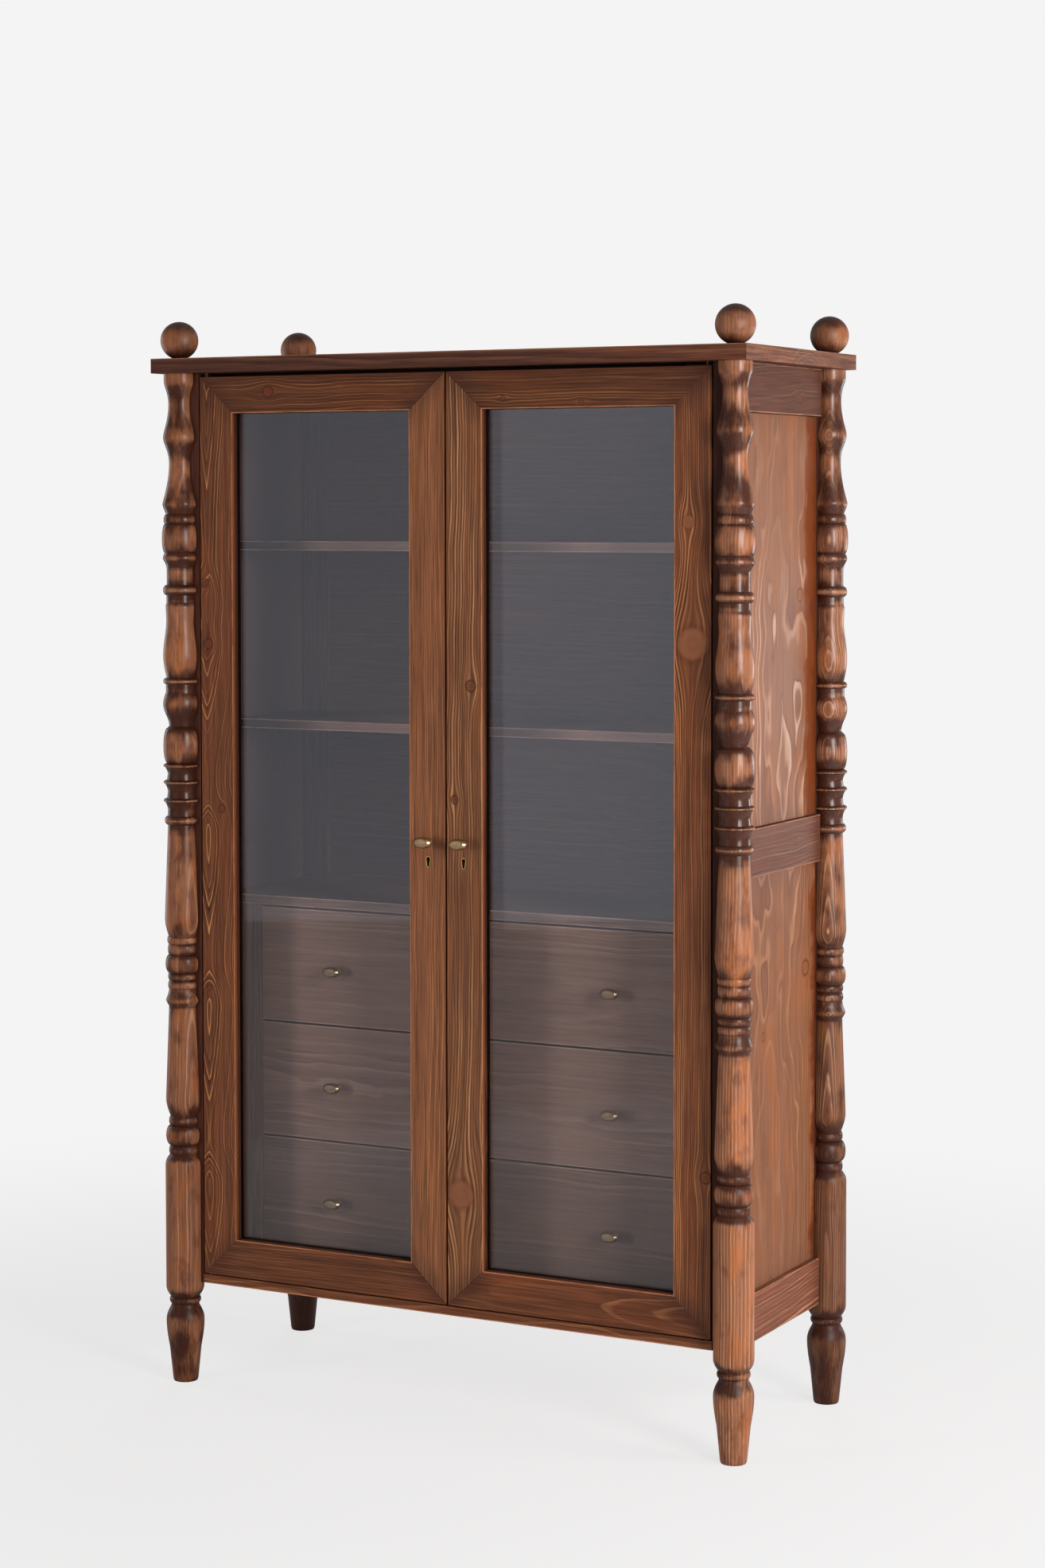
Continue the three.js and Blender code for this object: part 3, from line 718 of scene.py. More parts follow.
    def shade_ends(
        self, graph: Graph, colour: Socket, along: Socket, across: Socket, half: tuple[float, float]
    ) -> Socket:
        """Darkens a board towards its ends, along the mitre where there is one: painted shade where the posts
        shade the side rails' ends and the rails shade the panels' ends; on the doors, darker towards the
        mitres.

        Args:
            graph: the material's graph.
            colour: the colour so far.
            along, across: the place on the board.
            half: half the board's length and width.

        Returns:
            The new colour.
        """
        if not self.end_shade:
            return colour
        inset = graph.add(half[1], graph.times(-self.mitre, across)) if self.mitre else 0.0
        far = graph.less(half[0], graph.add(graph.math("ABSOLUTE", along), inset))
        cloud = graph.noise(
            graph.vector(graph.times(across, 26.0), self.seed, graph.times(along, 14.0)), 3.0, 0.6
        )
        far = graph.add(far, graph.times(0.075, graph.less(cloud, 0.5)))
        # Painted shade at the ends of the side rails and panels; on the doors, darker towards the mitres
        return graph.blend(graph.smooth(far, 0.055, -0.012, (0.0, self.end_shade)), colour, self.stain.cool)

    def rub_edges(
        self, graph: Graph, colour: Socket, across: Socket, deep: Socket, along: Socket,
        half: tuple[float, float],
    ) -> Socket:
        """Rubs the stain thin along the long edges.

        Args:
            graph: the material's graph.
            colour: the colour so far.
            across, deep, along: the place on the board.
            half: half the board's width and thickness.

        Returns:
            The new colour.
        """
        if not self.arris:
            return colour
        aside = graph.times(across, float(self.jamb)) if self.jamb else graph.math("ABSOLUTE", across)
        gap = graph.add(graph.less(half[0], aside), graph.less(half[1], graph.math("ABSOLUTE", deep)))
        worn = graph.noise(
            graph.vector(graph.times(along, 22.0), graph.times(across, 40.0), self.seed), 3.0, 0.6
        )
        edge = graph.smooth(gap, 0.0028, 0.0012)
        return graph.blend(
            graph.times(edge, graph.smooth(worn, 0.3, 0.6, (0.35, 1.0)), self.arris),
            colour, self.stain.rubbed,
        )


@dataclass(frozen=True)
class TurnedPine:
    """Turned softwood with a dark glaze left in the hollows and rubbed through on the ridges; on the balls
    the same dark mask is painted shade at the top and the bottom.
    """

    heart: tuple[float, float]
    seed: float
    lean: tuple[float, float] = (0.0, 0.0)
    ring: float = 0.0058
    low_tone: float = 1.0
    high_tone: float = 1.0
    low_glaze: float = -0.1
    high_glaze: float = 0.12
    foot_glaze: float = 0.0
    patchy: float = 3.2
    low_rings: float = 0.9
    high_rings: float = 0.5
    gloss: float = 0.3
    ground: Colour = paint(124, 79, 55)
    line: Colour = paint(184, 136, 102)
    groove: Colour = paint(80, 42, 29)
    warm: Colour = paint(138, 80, 44)
    glaze_and_shade: Colour = paint(48, 20, 12)
    cool: Colour = paint(82, 44, 33)
    rubbed: Colour = paint(166, 118, 86)
    grain: Axis = Axis.Z

    def material(self, name: str, centre: Vector) -> bpy.types.Material:
        """Writes the turned piece's material.

        Args:
            name: the piece's name.
            centre: a point on the piece's own axis.

        Returns:
            The material.
        """
        material, graph, shader = new_material(f"{name}_finish")
        place = graph.object_place(centre)
        along = place[self.grain.value]
        first, second = (place[i] for i in range(3) if i != self.grain.value)

        def cloud(rate: float, stretch: float, start: float, detail: float = 3.0) -> Socket:
            """Returns noise that is longer along the grain."""
            return graph.noise(
                graph.vector(graph.times(first, rate), graph.times(second, rate),
                             graph.add(graph.times(along, rate * stretch), self.seed + start)), detail, 0.6,
            )

        sway = graph.times(0.016, graph.less(cloud(1.1, 2.0, 4.0), 0.5))
        off_first = graph.add(first, -self.heart[0], sway, graph.times(along, -self.lean[0]))
        off_second = graph.add(second, -self.heart[1], sway, graph.times(along, -self.lean[1]))
        far = graph.apart(off_first, off_second)
        far = graph.add(far, graph.times(0.0022, graph.less(cloud(24.0, 0.3, 9.0), 0.5)))
        years = graph.times(far, 1.0 / self.ring)
        share = graph.math("FRACT", years)
        height = graph.smooth(along, 0.35, 1.15)
        strength = graph.times(
            graph.add(self.low_rings, graph.times(self.high_rings - self.low_rings, height)),
            graph.add(0.15, graph.math(
                "POWER", graph.chance(graph.add(graph.math("FLOOR", years), self.seed)), 1.7)),
        )
        line = graph.times(strength, graph.curve(
            share, ((0.0, 0.0), (0.54, 0.0), (0.70, 0.9), (0.86, 1.0), (0.93, 0.0))))
        groove = graph.times(strength, graph.curve(
            share, ((0.0, 1.0), (0.08, 1.0), (0.35, 0.15), (0.6, 0.0), (0.94, 0.0), (0.99, 1.0))))
        fibre = cloud(TURNED_FIBRE_RATE, 0.022, 2.0, 2.0)
        streak = cloud(TURNED_STREAK_RATE, 0.04, 7.0)
        colour = graph.blend(graph.times(line, 0.8), self.ground, self.line)
        colour = graph.blend(graph.times(groove, 0.7), colour, self.groove)
        colour = graph.blend(graph.smooth(cloud(34.0, 0.35, 31.0), 0.47, 0.7, (0.0, 0.8)), colour, self.warm)
        colour = graph.blend(graph.smooth(cloud(46.0, 0.4, 21.0), 0.5, 0.74, (0.0, 0.65)), colour, self.cool)
        tone = graph.times(
            graph.add(-0.05, graph.times(1.0, fibre), graph.times(1.1, streak)),
            graph.add(self.low_tone, graph.times(self.high_tone - self.low_tone, height)),
        )
        colour = graph.blend(1.0, colour, graph.vector(tone, tone, tone), "MULTIPLY")
        smear = graph.less(
            graph.add(graph.times(0.72, cloud(27.0, 0.42, 13.0)), graph.times(0.28, streak)), 0.5
        )
        amount = graph.add(
            graph.painted("glaze_and_shade"), graph.times(self.patchy, smear), self.low_glaze,
            graph.times(self.foot_glaze, graph.smooth(along, 0.16, 0.07)),
            graph.times(self.high_glaze - self.low_glaze, height),
        )
        # The dark mask: glaze left in the posts' hollows, and painted shade at the tops and bottoms of the
        # balls
        left = graph.smooth(amount, 0.06, 0.86, (0.0, 0.93))
        colour = graph.blend(left, colour, self.glaze_and_shade)
        bare = graph.smooth(
            graph.add(graph.painted("rubbed"), graph.times(1.1, graph.less(cloud(60.0, 0.8, 17.0), 0.55)),
                      graph.times(1.6, graph.less(fibre, 0.5))),
            0.4, 1.0, (0.0, 0.4),
        )
        colour = graph.blend(bare, colour, self.rubbed)
        graph.feed(shader.inputs["Base Color"], colour)
        graph.feed(shader.inputs["Roughness"], graph.add(
            0.46, graph.times(-0.13, height), graph.times(0.10, graph.less(fibre, 0.5)),
            graph.times(-0.06, left)))
        shader.inputs["Specular IOR Level"].default_value = 0.14 + 0.5 * self.gloss
        graph.feed(shader.inputs["Coat Weight"], graph.times(self.gloss, height))
        shader.inputs["Coat Roughness"].default_value = 0.22
        height_map = graph.add(
            graph.times(0.7, line), graph.times(-0.6, groove), graph.times(0.5, fibre),
            cloud(60.0, 0.25, 29.0),
        )
        graph.emboss(shader, height_map, 0.4, 0.0004)
        return material


@dataclass(frozen=True)
class AgedBrass:
    """Cast brass, polished by hands and darker in random patches."""

    bright: Colour = paint(178, 148, 112)
    dull: Colour = paint(122, 94, 66)
    polish: float = 0.25

    def material(self, name: str) -> bpy.types.Material:
        """Writes the material under a name and returns it."""
        material, graph, shader = new_material(name)
        x, y, z = graph.object_place(Vector((0.0, 0.0, 0.0)))

        def cloud(rate: float) -> Socket:
            """Returns noise at a rate per metre."""
            return graph.noise(
                graph.vector(graph.times(x, rate), graph.times(y, rate), graph.times(z, rate)), 3.0
            )

        aged = graph.smooth(cloud(160.0), 0.42, 0.75, (0.0, 0.5))
        graph.feed(shader.inputs["Base Color"], graph.blend(aged, self.bright, self.dull))
        graph.feed(shader.inputs["Roughness"], graph.add(self.polish, graph.times(0.12, cloud(520.0))))
        shader.inputs["Metallic"].default_value = 1.0
        graph.emboss(shader, cloud(420.0), 0.15, 0.0002)
        return material


@dataclass(frozen=True)
class WindowGlass:
    """Clear plate glass that lets light through and mirrors the room."""

    tint: Colour = (0.88, 0.88, 0.90)
    mirror: Colour = (0.93, 0.94, 1.0)
    face_on: float = 0.043

    def material(self, name: str) -> bpy.types.Material:
        """Writes the material under a name and returns it."""
        material, graph = blank_material(name)
        clear = graph.node("ShaderNodeBsdfTransparent")
        clear.inputs["Color"].default_value = (*self.tint, 1.0)
        shine = graph.node("ShaderNodeBsdfGlossy")
        shine.inputs["Color"].default_value = (*self.mirror, 1.0)
        shine.inputs["Roughness"].default_value = 0.02
        tilt = graph.node("ShaderNodeLayerWeight")
        tilt.inputs["Blend"].default_value = 0.5
        share = graph.add(
            self.face_on, graph.times(1.0 - self.face_on, graph.math("POWER", tilt.outputs["Facing"], 5.0))
        )
        graph.show(graph.mix(share, clear, shine))
        return material


# The bench: the moves that every piece goes through


class Bench:
    """The few moves in Blender's modelling tools that every piece is made with."""

    @staticmethod
    def clear() -> None:
        """Deselects every object."""
        if bpy.context.object and bpy.context.object.mode != "OBJECT":
            bpy.ops.object.mode_set(mode="OBJECT")
        bpy.ops.object.select_all(action="DESELECT")

    @staticmethod
    def take(piece: bpy.types.Object) -> None:
        """Makes a piece the only selected object and the active one."""
        Bench.clear()
        piece.select_set(True)
        bpy.context.view_layer.objects.active = piece

    @staticmethod
    def edit(piece: bpy.types.Object) -> None:
        """Opens a piece in edit mode with all of it selected."""
        Bench.take(piece)
        bpy.ops.object.mode_set(mode="EDIT")
        bpy.ops.mesh.select_mode(type="VERT")
        bpy.ops.mesh.select_all(action="SELECT")

    @staticmethod
    def pick_faces(piece: bpy.types.Object, wanted: Callable[[Vector], bool]) -> None:
        """Opens a piece in edit mode with only those faces selected whose normal is wanted."""
        Bench.edit(piece)
        bpy.ops.mesh.select_mode(type="FACE")
        bpy.ops.mesh.select_all(action="DESELECT")
        bpy.ops.object.mode_set(mode="OBJECT")
        for face in piece.data.polygons:
            face.select = wanted(face.normal)
        bpy.ops.object.mode_set(mode="EDIT")

    @staticmethod
    def close() -> None:
        """Merges doubles, turns the faces outwards and leaves edit mode."""
        bpy.ops.mesh.select_all(action="SELECT")
        bpy.ops.mesh.remove_doubles(threshold=MERGE_DISTANCE)
        bpy.ops.mesh.normals_make_consistent(inside=False)
        bpy.ops.object.mode_set(mode="OBJECT")

    @staticmethod
    def settle(piece: bpy.types.Object) -> bpy.types.Object:
        """Puts a piece's place, turn and size into its mesh and returns it."""
        Bench.take(piece)
        bpy.ops.object.transform_apply(location=True, rotation=True, scale=True)
        return piece

    @staticmethod
    def modify(piece: bpy.types.Object, kind: str, **settings: object) -> None:
        """Adds a modifier with its settings and applies it."""
        Bench.take(piece)
        modifier = piece.modifiers.new(kind.lower(), kind)
        for name, value in settings.items():
            setattr(modifier, name, value)
        bpy.ops.object.modifier_apply(modifier=modifier.name)

    @staticmethod
    def block(name: str, low: Vector, high: Vector) -> bpy.types.Object:
        """Adds a block between two corners.

        Args:
            name: the piece's name.
            low, high: its corners.

        Returns:
            The block.
        """
        Bench.clear()
        bpy.ops.mesh.primitive_cube_add(size=1.0, location=(low + high) / 2)
        piece = bpy.context.object
        piece.name = name
        piece.scale = high - low
        return Bench.settle(piece)

    @staticmethod
    def turn(
        name: str, rows: list[tuple[float, float]], sides: int, smooth: float = 30.0
    ) -> bpy.types.Object:
        """Turns a piece on the lathe, about the Z axis.

        Args:
            name: the piece's name.
            rows: the height and radius of each point of its outline, from an end on the axis to the other.
            sides: the number of steps of the spin.
            smooth: the angle in degrees up to which faces shade as one.

        Returns:
            The closed piece.
        """
        Bench.clear()
        bpy.ops.mesh.primitive_plane_add(size=0.01, location=(0.0, 0.0, 0.0))
        piece = bpy.context.object
        piece.name = name
        bpy.ops.object.mode_set(mode="EDIT")
        bpy.ops.mesh.select_mode(type="VERT")
        bpy.ops.mesh.select_all(action="SELECT")
        bpy.ops.mesh.merge(type="CENTER")
        bpy.ops.transform.translate(value=(rows[0][1], 0.0, rows[0][0]))
        for (z_from, r_from), (z_to, r_to) in zip(rows, rows[1:]):
            bpy.ops.mesh.extrude_vertices_move(
                TRANSFORM_OT_translate={"value": (r_to - r_from, 0.0, z_to - z_from)}
            )
        bpy.ops.mesh.select_all(action="SELECT")
        bpy.ops.mesh.spin(steps=sides, angle=math.tau, center=(0.0, 0.0, 0.0), axis=(0.0, 0.0, 1.0))
        Bench.close()
        Bench.take(piece)
        bpy.ops.object.shade_smooth_by_angle(angle=math.radians(smooth))
        return piece

    @staticmethod
    def copy(
        piece: bpy.types.Object, name: str, move: Vector, flip: tuple[int, int, int] = (1, 1, 1)
    ) -> bpy.types.Object:
        """Copies a piece with a mesh of its own.

        Args:
            piece: what is copied.
            name: the copy's name.
            move: how far it is moved.
            flip: 1 or -1 for each direction, before the move.

        Returns:
            The copy.
        """
        Bench.take(piece)
        bpy.ops.object.duplicate(linked=False)
        made = bpy.context.object
        made.name = name
        made.scale = flip
        made.location = move
        Bench.settle(made)
        if flip[0] * flip[1] * flip[2] < 0:
            Bench.edit(made)
            Bench.close()
        return made

    @staticmethod
    def from_cad(node: str, ease: float) -> bpy.types.Object:
        """Makes a piece from a copy of a CAD node: merged, freed of flat seams and eased at its edges.

        Args:
            node: the CAD node's name.
            ease: the width of the eased edge.

        Returns:
            The piece, which takes the node's place.
        """
        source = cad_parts[node]
        piece = bpy.data.objects.new(f"{node}_dressed", source.data.copy())
        bpy.context.scene.collection.objects.link(piece)
        Bench.take(piece)
        bpy.ops.mesh.customdata_custom_splitnormals_clear()
        Bench.edit(piece)
        bpy.ops.mesh.remove_doubles(threshold=MERGE_DISTANCE)
        bpy.ops.mesh.dissolve_limited(angle_limit=math.radians(0.5))
        bpy.ops.object.mode_set(mode="OBJECT")
        Bench.modify(
            piece, "BEVEL", width=ease, segments=2, limit_method="ANGLE", angle_limit=math.radians(40),
            use_clamp_overlap=True,
        )
        Bench.take(piece)
        bpy.ops.object.shade_flat()
        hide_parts(node)
        return piece

    @staticmethod
    def dress(piece: bpy.types.Object, material: bpy.types.Material, slot: Slot, body: str) -> None:
        """Gives a piece its finish and the body that it rides on, and reports it.

        Args:
            piece: the piece.
            material: its finish.
            slot: the record's slot for it; not used.
            body: the CAD body.
        """
        piece.data.materials.clear()
        piece.data.materials.append(material)
        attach(piece, body)
        log.info("%s: %d faces, on %s", piece.name, len(piece.data.polygons), body)

    @staticmethod
    def dress_board(node: str, finish: PineBoard, slot: Slot, body: str, ease: float = 0.0009) -> None:
        """Makes a board from its CAD node and gives it its finish.

        Args:
            node: the CAD node's name.
            finish: the board's wood.
            slot: the record's slot for it.
            body: the CAD body.
            ease: the width of its eased edges.
        """
        low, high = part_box(node)
        piece = Bench.from_cad(node, ease)
        Bench.dress(piece, finish.material(node, low, high), slot, body)


# The four turned posts and their balls


class Turning(Enum):
    """How the lathe runs from one width to the next."""

    LINE = "line"
    ROUND_OUT = "round_out"
    ROUND_IN = "round_in"
    HOLLOW_IN = "hollow_in"
    HOLLOW_OUT = "hollow_out"
    SWELL = "swell"
    BEAD = "bead"

    def share(self, t: float) -> float:
        """Returns how far the width has changed at a share of the way."""
        if self in (Turning.ROUND_OUT, Turning.HOLLOW_IN):
            return math.sin(t * math.pi / 2)
        if self in (Turning.ROUND_IN, Turning.HOLLOW_OUT):
            return 1 - math.cos(t * math.pi / 2)
        if self is Turning.SWELL:
            return (1 - math.cos(t * math.pi)) / 2
        return t


# Each turning of a post: the height and radius that it ends at, as shares of the post's, how it runs, and
# how wide a bead swells
POST_TURNINGS: tuple[tuple[float, float, Turning, float], ...] = (
    (0.002, 0.66, Turning.LINE, 0.0),
    (0.034, 0.83, Turning.LINE, 0.0),
    (0.0618, 1.0, Turning.ROUND_OUT, 0.0),
    (0.0755, 0.74, Turning.ROUND_IN, 0.0),
    (0.078, 0.72, Turning.LINE, 0.0),
    (0.0845, 0.74, Turning.BEAD, 0.83),
    (0.0948, 1.0, Turning.ROUND_OUT, 0.0),
    (0.218, 1.0, Turning.LINE, 0.0),
    (0.2275, 0.75, Turning.ROUND_IN, 0.0),
    (0.2365, 0.72, Turning.BEAD, 0.81),
    (0.2565, 0.72, Turning.BEAD, 0.96),
    (0.2655, 0.72, Turning.BEAD, 0.81),
    (0.2836, 0.95, Turning.ROUND_OUT, 0.0),
    (0.3755, 0.76, Turning.LINE, 0.0),
    (0.381, 0.94, Turning.LINE, 0.0),
    (0.393, 0.76, Turning.HOLLOW_IN, 0.0),
    (0.401, 0.72, Turning.BEAD, 0.81),
    (0.4085, 0.74, Turning.BEAD, 0.81),
    (0.4265, 0.74, Turning.BEAD, 0.935),
    (0.437, 0.74, Turning.BEAD, 0.81),
    (0.445, 0.76, Turning.BEAD, 0.84),
    (0.4633, 0.95, Turning.ROUND_OUT, 0.0),
    (0.5555, 0.755, Turning.LINE, 0.0),
    (0.5645, 0.77, Turning.BEAD, 0.935),
    (0.5700, 0.75, Turning.LINE, 0.0),
    (0.5783, 0.885, Turning.HOLLOW_OUT, 0.0),
    (0.5823, 0.79, Turning.BEAD, 0.975),
    (0.5885, 0.75, Turning.LINE, 0.0),
    (0.5963, 0.885, Turning.HOLLOW_OUT, 0.0),
    (0.6003, 0.79, Turning.BEAD, 0.975),
    (0.6060, 0.75, Turning.LINE, 0.0),
    (0.6128, 0.885, Turning.HOLLOW_OUT, 0.0),
    (0.6168, 0.77, Turning.BEAD, 0.975),
    (0.6515, 0.76, Turning.BEAD, 0.97),
    (0.6535, 0.66, Turning.LINE, 0.0),
    (0.6751, 0.97, Turning.SWELL, 0.0),
    (0.6868, 0.82, Turning.ROUND_IN, 0.0),
    (0.6948, 0.82, Turning.LINE, 0.0),
    (0.7013, 0.78, Turning.BEAD, 0.97),
    (0.7232, 0.95, Turning.ROUND_OUT, 0.0),
    (0.7583, 0.775, Turning.SWELL, 0.0),
    (0.7735, 0.81, Turning.LINE, 0.0),
    (0.7745, 0.76, Turning.LINE, 0.0),
    (0.7825, 0.76, Turning.LINE, 0.0),
    (0.793, 0.74, Turning.BEAD, 0.947),
    (0.8085, 0.74, Turning.LINE, 0.0),
    (0.819, 0.965, Turning.HOLLOW_OUT, 0.0),
    (0.8245, 0.84, Turning.LINE, 0.0),
    (0.853, 0.82, Turning.BEAD, 0.98),
    (0.8625, 0.76, Turning.BEAD, 0.89),
    (0.8715, 0.955, Turning.LINE, 0.0),
    (0.9125, 0.585, Turning.HOLLOW_IN, 0.0),
    (0.9368, 0.93, Turning.HOLLOW_OUT, 0.0),
    (0.9708, 0.6, Turning.HOLLOW_IN, 0.0),
    (0.9905, 0.83, Turning.HOLLOW_OUT, 0.0),
    (1.0, 0.83, Turning.LINE, 0.0),
)


@dataclass
class TurnedPosts:
    """The four posts, each one turning from the floor to the top board, notched for the carcass corner."""

    height: float = 1.9087
    radius: float = 0.036
    foot_share: float = 0.62
    post_x: float = 0.571
    front_y: float = -0.2075
    rear_y: float = 0.2115
    notch_x: float = 0.0097
    notch_y: float = 0.0003
    notch_height: float = 0.1907
    notch_reach: float = 0.06
    overrun: float = 0.01
    sides: int = 80
    step: float = 0.0055
    round_over: float = 0.0016
    worn_ridges: tuple[tuple[float, float], ...] = ((1.7882, 0.0085),)
    finishes: dict[str, TurnedPine] = field(default_factory=lambda: {
        "front_left": TurnedPine(
            heart=(0.052, -0.016), seed=57.0, lean=(0.006, -0.012), low_tone=0.98, high_tone=1.14,
            low_rings=0.8,
            high_rings=0.4, low_glaze=-0.14, high_glaze=0.0, gloss=0.05, foot_glaze=0.4,
        ),
        "front_right": TurnedPine(
            heart=(-0.080, -0.045), seed=63.0, lean=(0.010, 0.008), low_tone=1.16, high_tone=1.1,
            low_rings=0.7,
            high_rings=0.35, low_glaze=-0.18, high_glaze=0.06, gloss=0.12,
        ),
        "rear_left": TurnedPine(
            heart=(0.016, -0.05), seed=71.0, lean=(0.01, 0.01), low_tone=0.62, foot_glaze=1.2,
        ),
        "rear_right": TurnedPine(
            heart=(0.019, -0.046), seed=78.0, lean=(0.004, -0.010), ring=0.0036, low_tone=0.53,
            high_tone=0.96,
            low_rings=1.1, high_rings=1.1, low_glaze=0.0, high_glaze=0.04, gloss=0.14, foot_glaze=0.3,
        ),
    })

    def outline(self) -> list[tuple[float, float]]:
        """Works out the outline from the turnings.

        Returns:
            The height and radius of each point, from the foot up.
        """
        z_from, r_from = 0.0, self.radius * self.foot_share
        rows = [(0.0, 0.0), (z_from, r_from)]
        for height_share, radius_share, form, peak in POST_TURNINGS:
            z_to, r_to = self.height * height_share, self.radius * radius_share
            if form is Turning.BEAD:
                count = max(6, round((z_to - z_from) / 0.0028))
                mean = (r_from + r_to) / 2
                for i in range(1, count):
                    turn = math.pi * i / count
                    share = (1 - math.cos(turn)) / 2
                    out = (self.radius * peak - mean) * math.sin(turn)
                    rows.append((z_from + (z_to - z_from) * share, r_from + (r_to - r_from) * share + out))
            else:
                pace = self.step if form is Turning.LINE else self.step * 0.6
                count = max(1 if form is Turning.LINE else 5, round((z_to - z_from) / pace))
                for i in range(1, count):
                    t = i / count
                    rows.append((z_from + (z_to - z_from) * t, r_from + (r_to - r_from) * form.share(t)))
            rows.append((z_to, r_to))
            z_from, r_from = z_to, r_to
        rows.append((self.height, 0.0))
        return self.soften(rows)

    def soften(self, rows: list[tuple[float, float]]) -> list[tuple[float, float]]:
        """Rounds the outline's sharp ridges over, as sanding does.

        Args:
            rows: the outline.

        Returns:
            The outline with its ridges a little lower.
        """
        soft = list(rows)
        for i in range(3, len(rows) - 3):
            (z_before, r_before), (z, r), (z_after, r_after) = rows[i - 1:i + 2]
            share = (z - z_before) / max(z_after - z_before, 1e-9)
            chord = r_before * (1 - share) + r_after * share
            if r > chord + 0.0001:
                soft[i] = (z, max(chord, r - min(0.4 * (r - chord), self.round_over)))
        for middle, reach in self.worn_ridges:
            near = [
                i for i, (z, _) in enumerate(soft)
                if abs(z - middle) < 3 * reach and 3 <= i < len(soft) - 3
            ]
            fresh = {}
            for i in near:
                weights = [(math.exp(-((soft[j][0] - soft[i][0]) / reach) ** 2), soft[j][1]) for j in near]
                blend = max(0.0, 1.0 - (abs(soft[i][0] - middle) / (2.6 * reach)) ** 2)
                mean = sum(w * r for w, r in weights) / sum(w for w, _ in weights)
                fresh[i] = (soft[i][0], soft[i][1] * (1 - blend) + mean * blend)
            for i, row in fresh.items():
                soft[i] = row
        return soft

    def finish_values(self, rows: list[tuple[float, float]]) -> list[tuple[float, float, float]]:
        """Works out where glaze stays and where it is rubbed off.

        Args:
            rows: the outline.

        Returns:
            For each row of the outline its height, its glaze and how far it is rubbed.
        """
        skin = rows[1:-1]
        steps = [abs(b[1] - a[1]) for a, b in zip(skin, skin[1:])]
        busy = [
            sum(step for row, step in zip(skin, steps) if abs(row[0] - z) <= 0.022) / 0.044 for z, _ in skin
        ]
        values = []
        for i, (z, r) in enumerate(skin):
            near = [row for row in skin if abs(row[0] - z) <= 0.009]
            wide = max(row[1] for row in skin if abs(row[0] - z) <= 0.022)
            low, high = min(row[1] for row in near), max(row[1] for row in near)
            before, after = skin[max(i - 1, 0)], skin[min(i + 1, len(skin) - 1)]
            slope = abs(after[1] - before[1]) / max(after[0] - before[0], 1e-6)
            dip = (high - r) / 0.006
            glaze_and_shade = min(1.0, 0.4 * min(slope, 1.6) + 0.5 * min(dip, 1.2) + 0.35 * min((wide - r) / 0.008, 1.0)
                        + 0.5 * min(busy[i] / 0.55, 1.0))
            steep = max(0.0, high - low - 0.0012) / 0.005
            crest = max(0.0, 1.0 - (high - r) / 0.0009)
            values.append((z, glaze_and_shade, min(1.0, crest * min(1.0, steep))))
        return values

    def carry(self, piece: bpy.types.Object, values: list[tuple[float, float, float]]) -> None:
        """Writes the glaze and the rubbing on a piece's points, by their height.

        Args:
            piece: the post.
            values: what finish_values gives.
        """
        mesh = piece.data
        glaze_and_shade = mesh.attributes.new("glaze_and_shade", "FLOAT", "POINT")
        rubbed = mesh.attributes.new("rubbed", "FLOAT", "POINT")
        for i, vertex in enumerate(mesh.vertices):
            height = vertex.co.z
            low, high = 0, len(values) - 1
            while high - low > 1:
                middle = (low + high) // 2
                if values[middle][0] <= height:
                    low = middle
                else:
                    high = middle
            span = values[high][0] - values[low][0]
            t = min(1.0, max(0.0, (height - values[low][0]) / span)) if span > 1e-9 else 0.0
            glaze_and_shade.data[i].value = values[low][1] * (1 - t) + values[high][1] * t
            rubbed.data[i].value = values[low][2] * (1 - t) + values[high][2] * t

    def build(self) -> None:
        """Turns one post, notches it, and copies it to the four corners."""
        rows = self.outline()
        post = Bench.turn("post_pattern", rows, self.sides, 38.0)
        notch = Bench.block(
            "post_notch", Vector((-self.notch_reach, -self.notch_y, self.notch_height)),
            Vector((-self.notch_x, self.notch_reach, self.height + self.overrun)),
        )
        Bench.modify(post, "BOOLEAN", operation="DIFFERENCE", object=notch, solver="EXACT")
        bpy.data.objects.remove(notch)
        self.carry(post, self.finish_values(rows))
        for side, side_sign in (("left", -1), ("right", 1)):
            for row, y, row_sign in (("front", self.front_y, 1), ("rear", self.rear_y, -1)):
                corner = f"{row}_{side}"
                place = Vector((side_sign * self.post_x, y, 0.0))
                piece = Bench.copy(post, f"post_{corner}", place, (side_sign, row_sign, 1))
                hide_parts(f"turned_post_{corner}")
                finish = self.finishes[corner].material(piece.name, place)
                Bench.dress(piece, finish, Slot.TURNED, "cabinet")
        bpy.data.objects.remove(post)


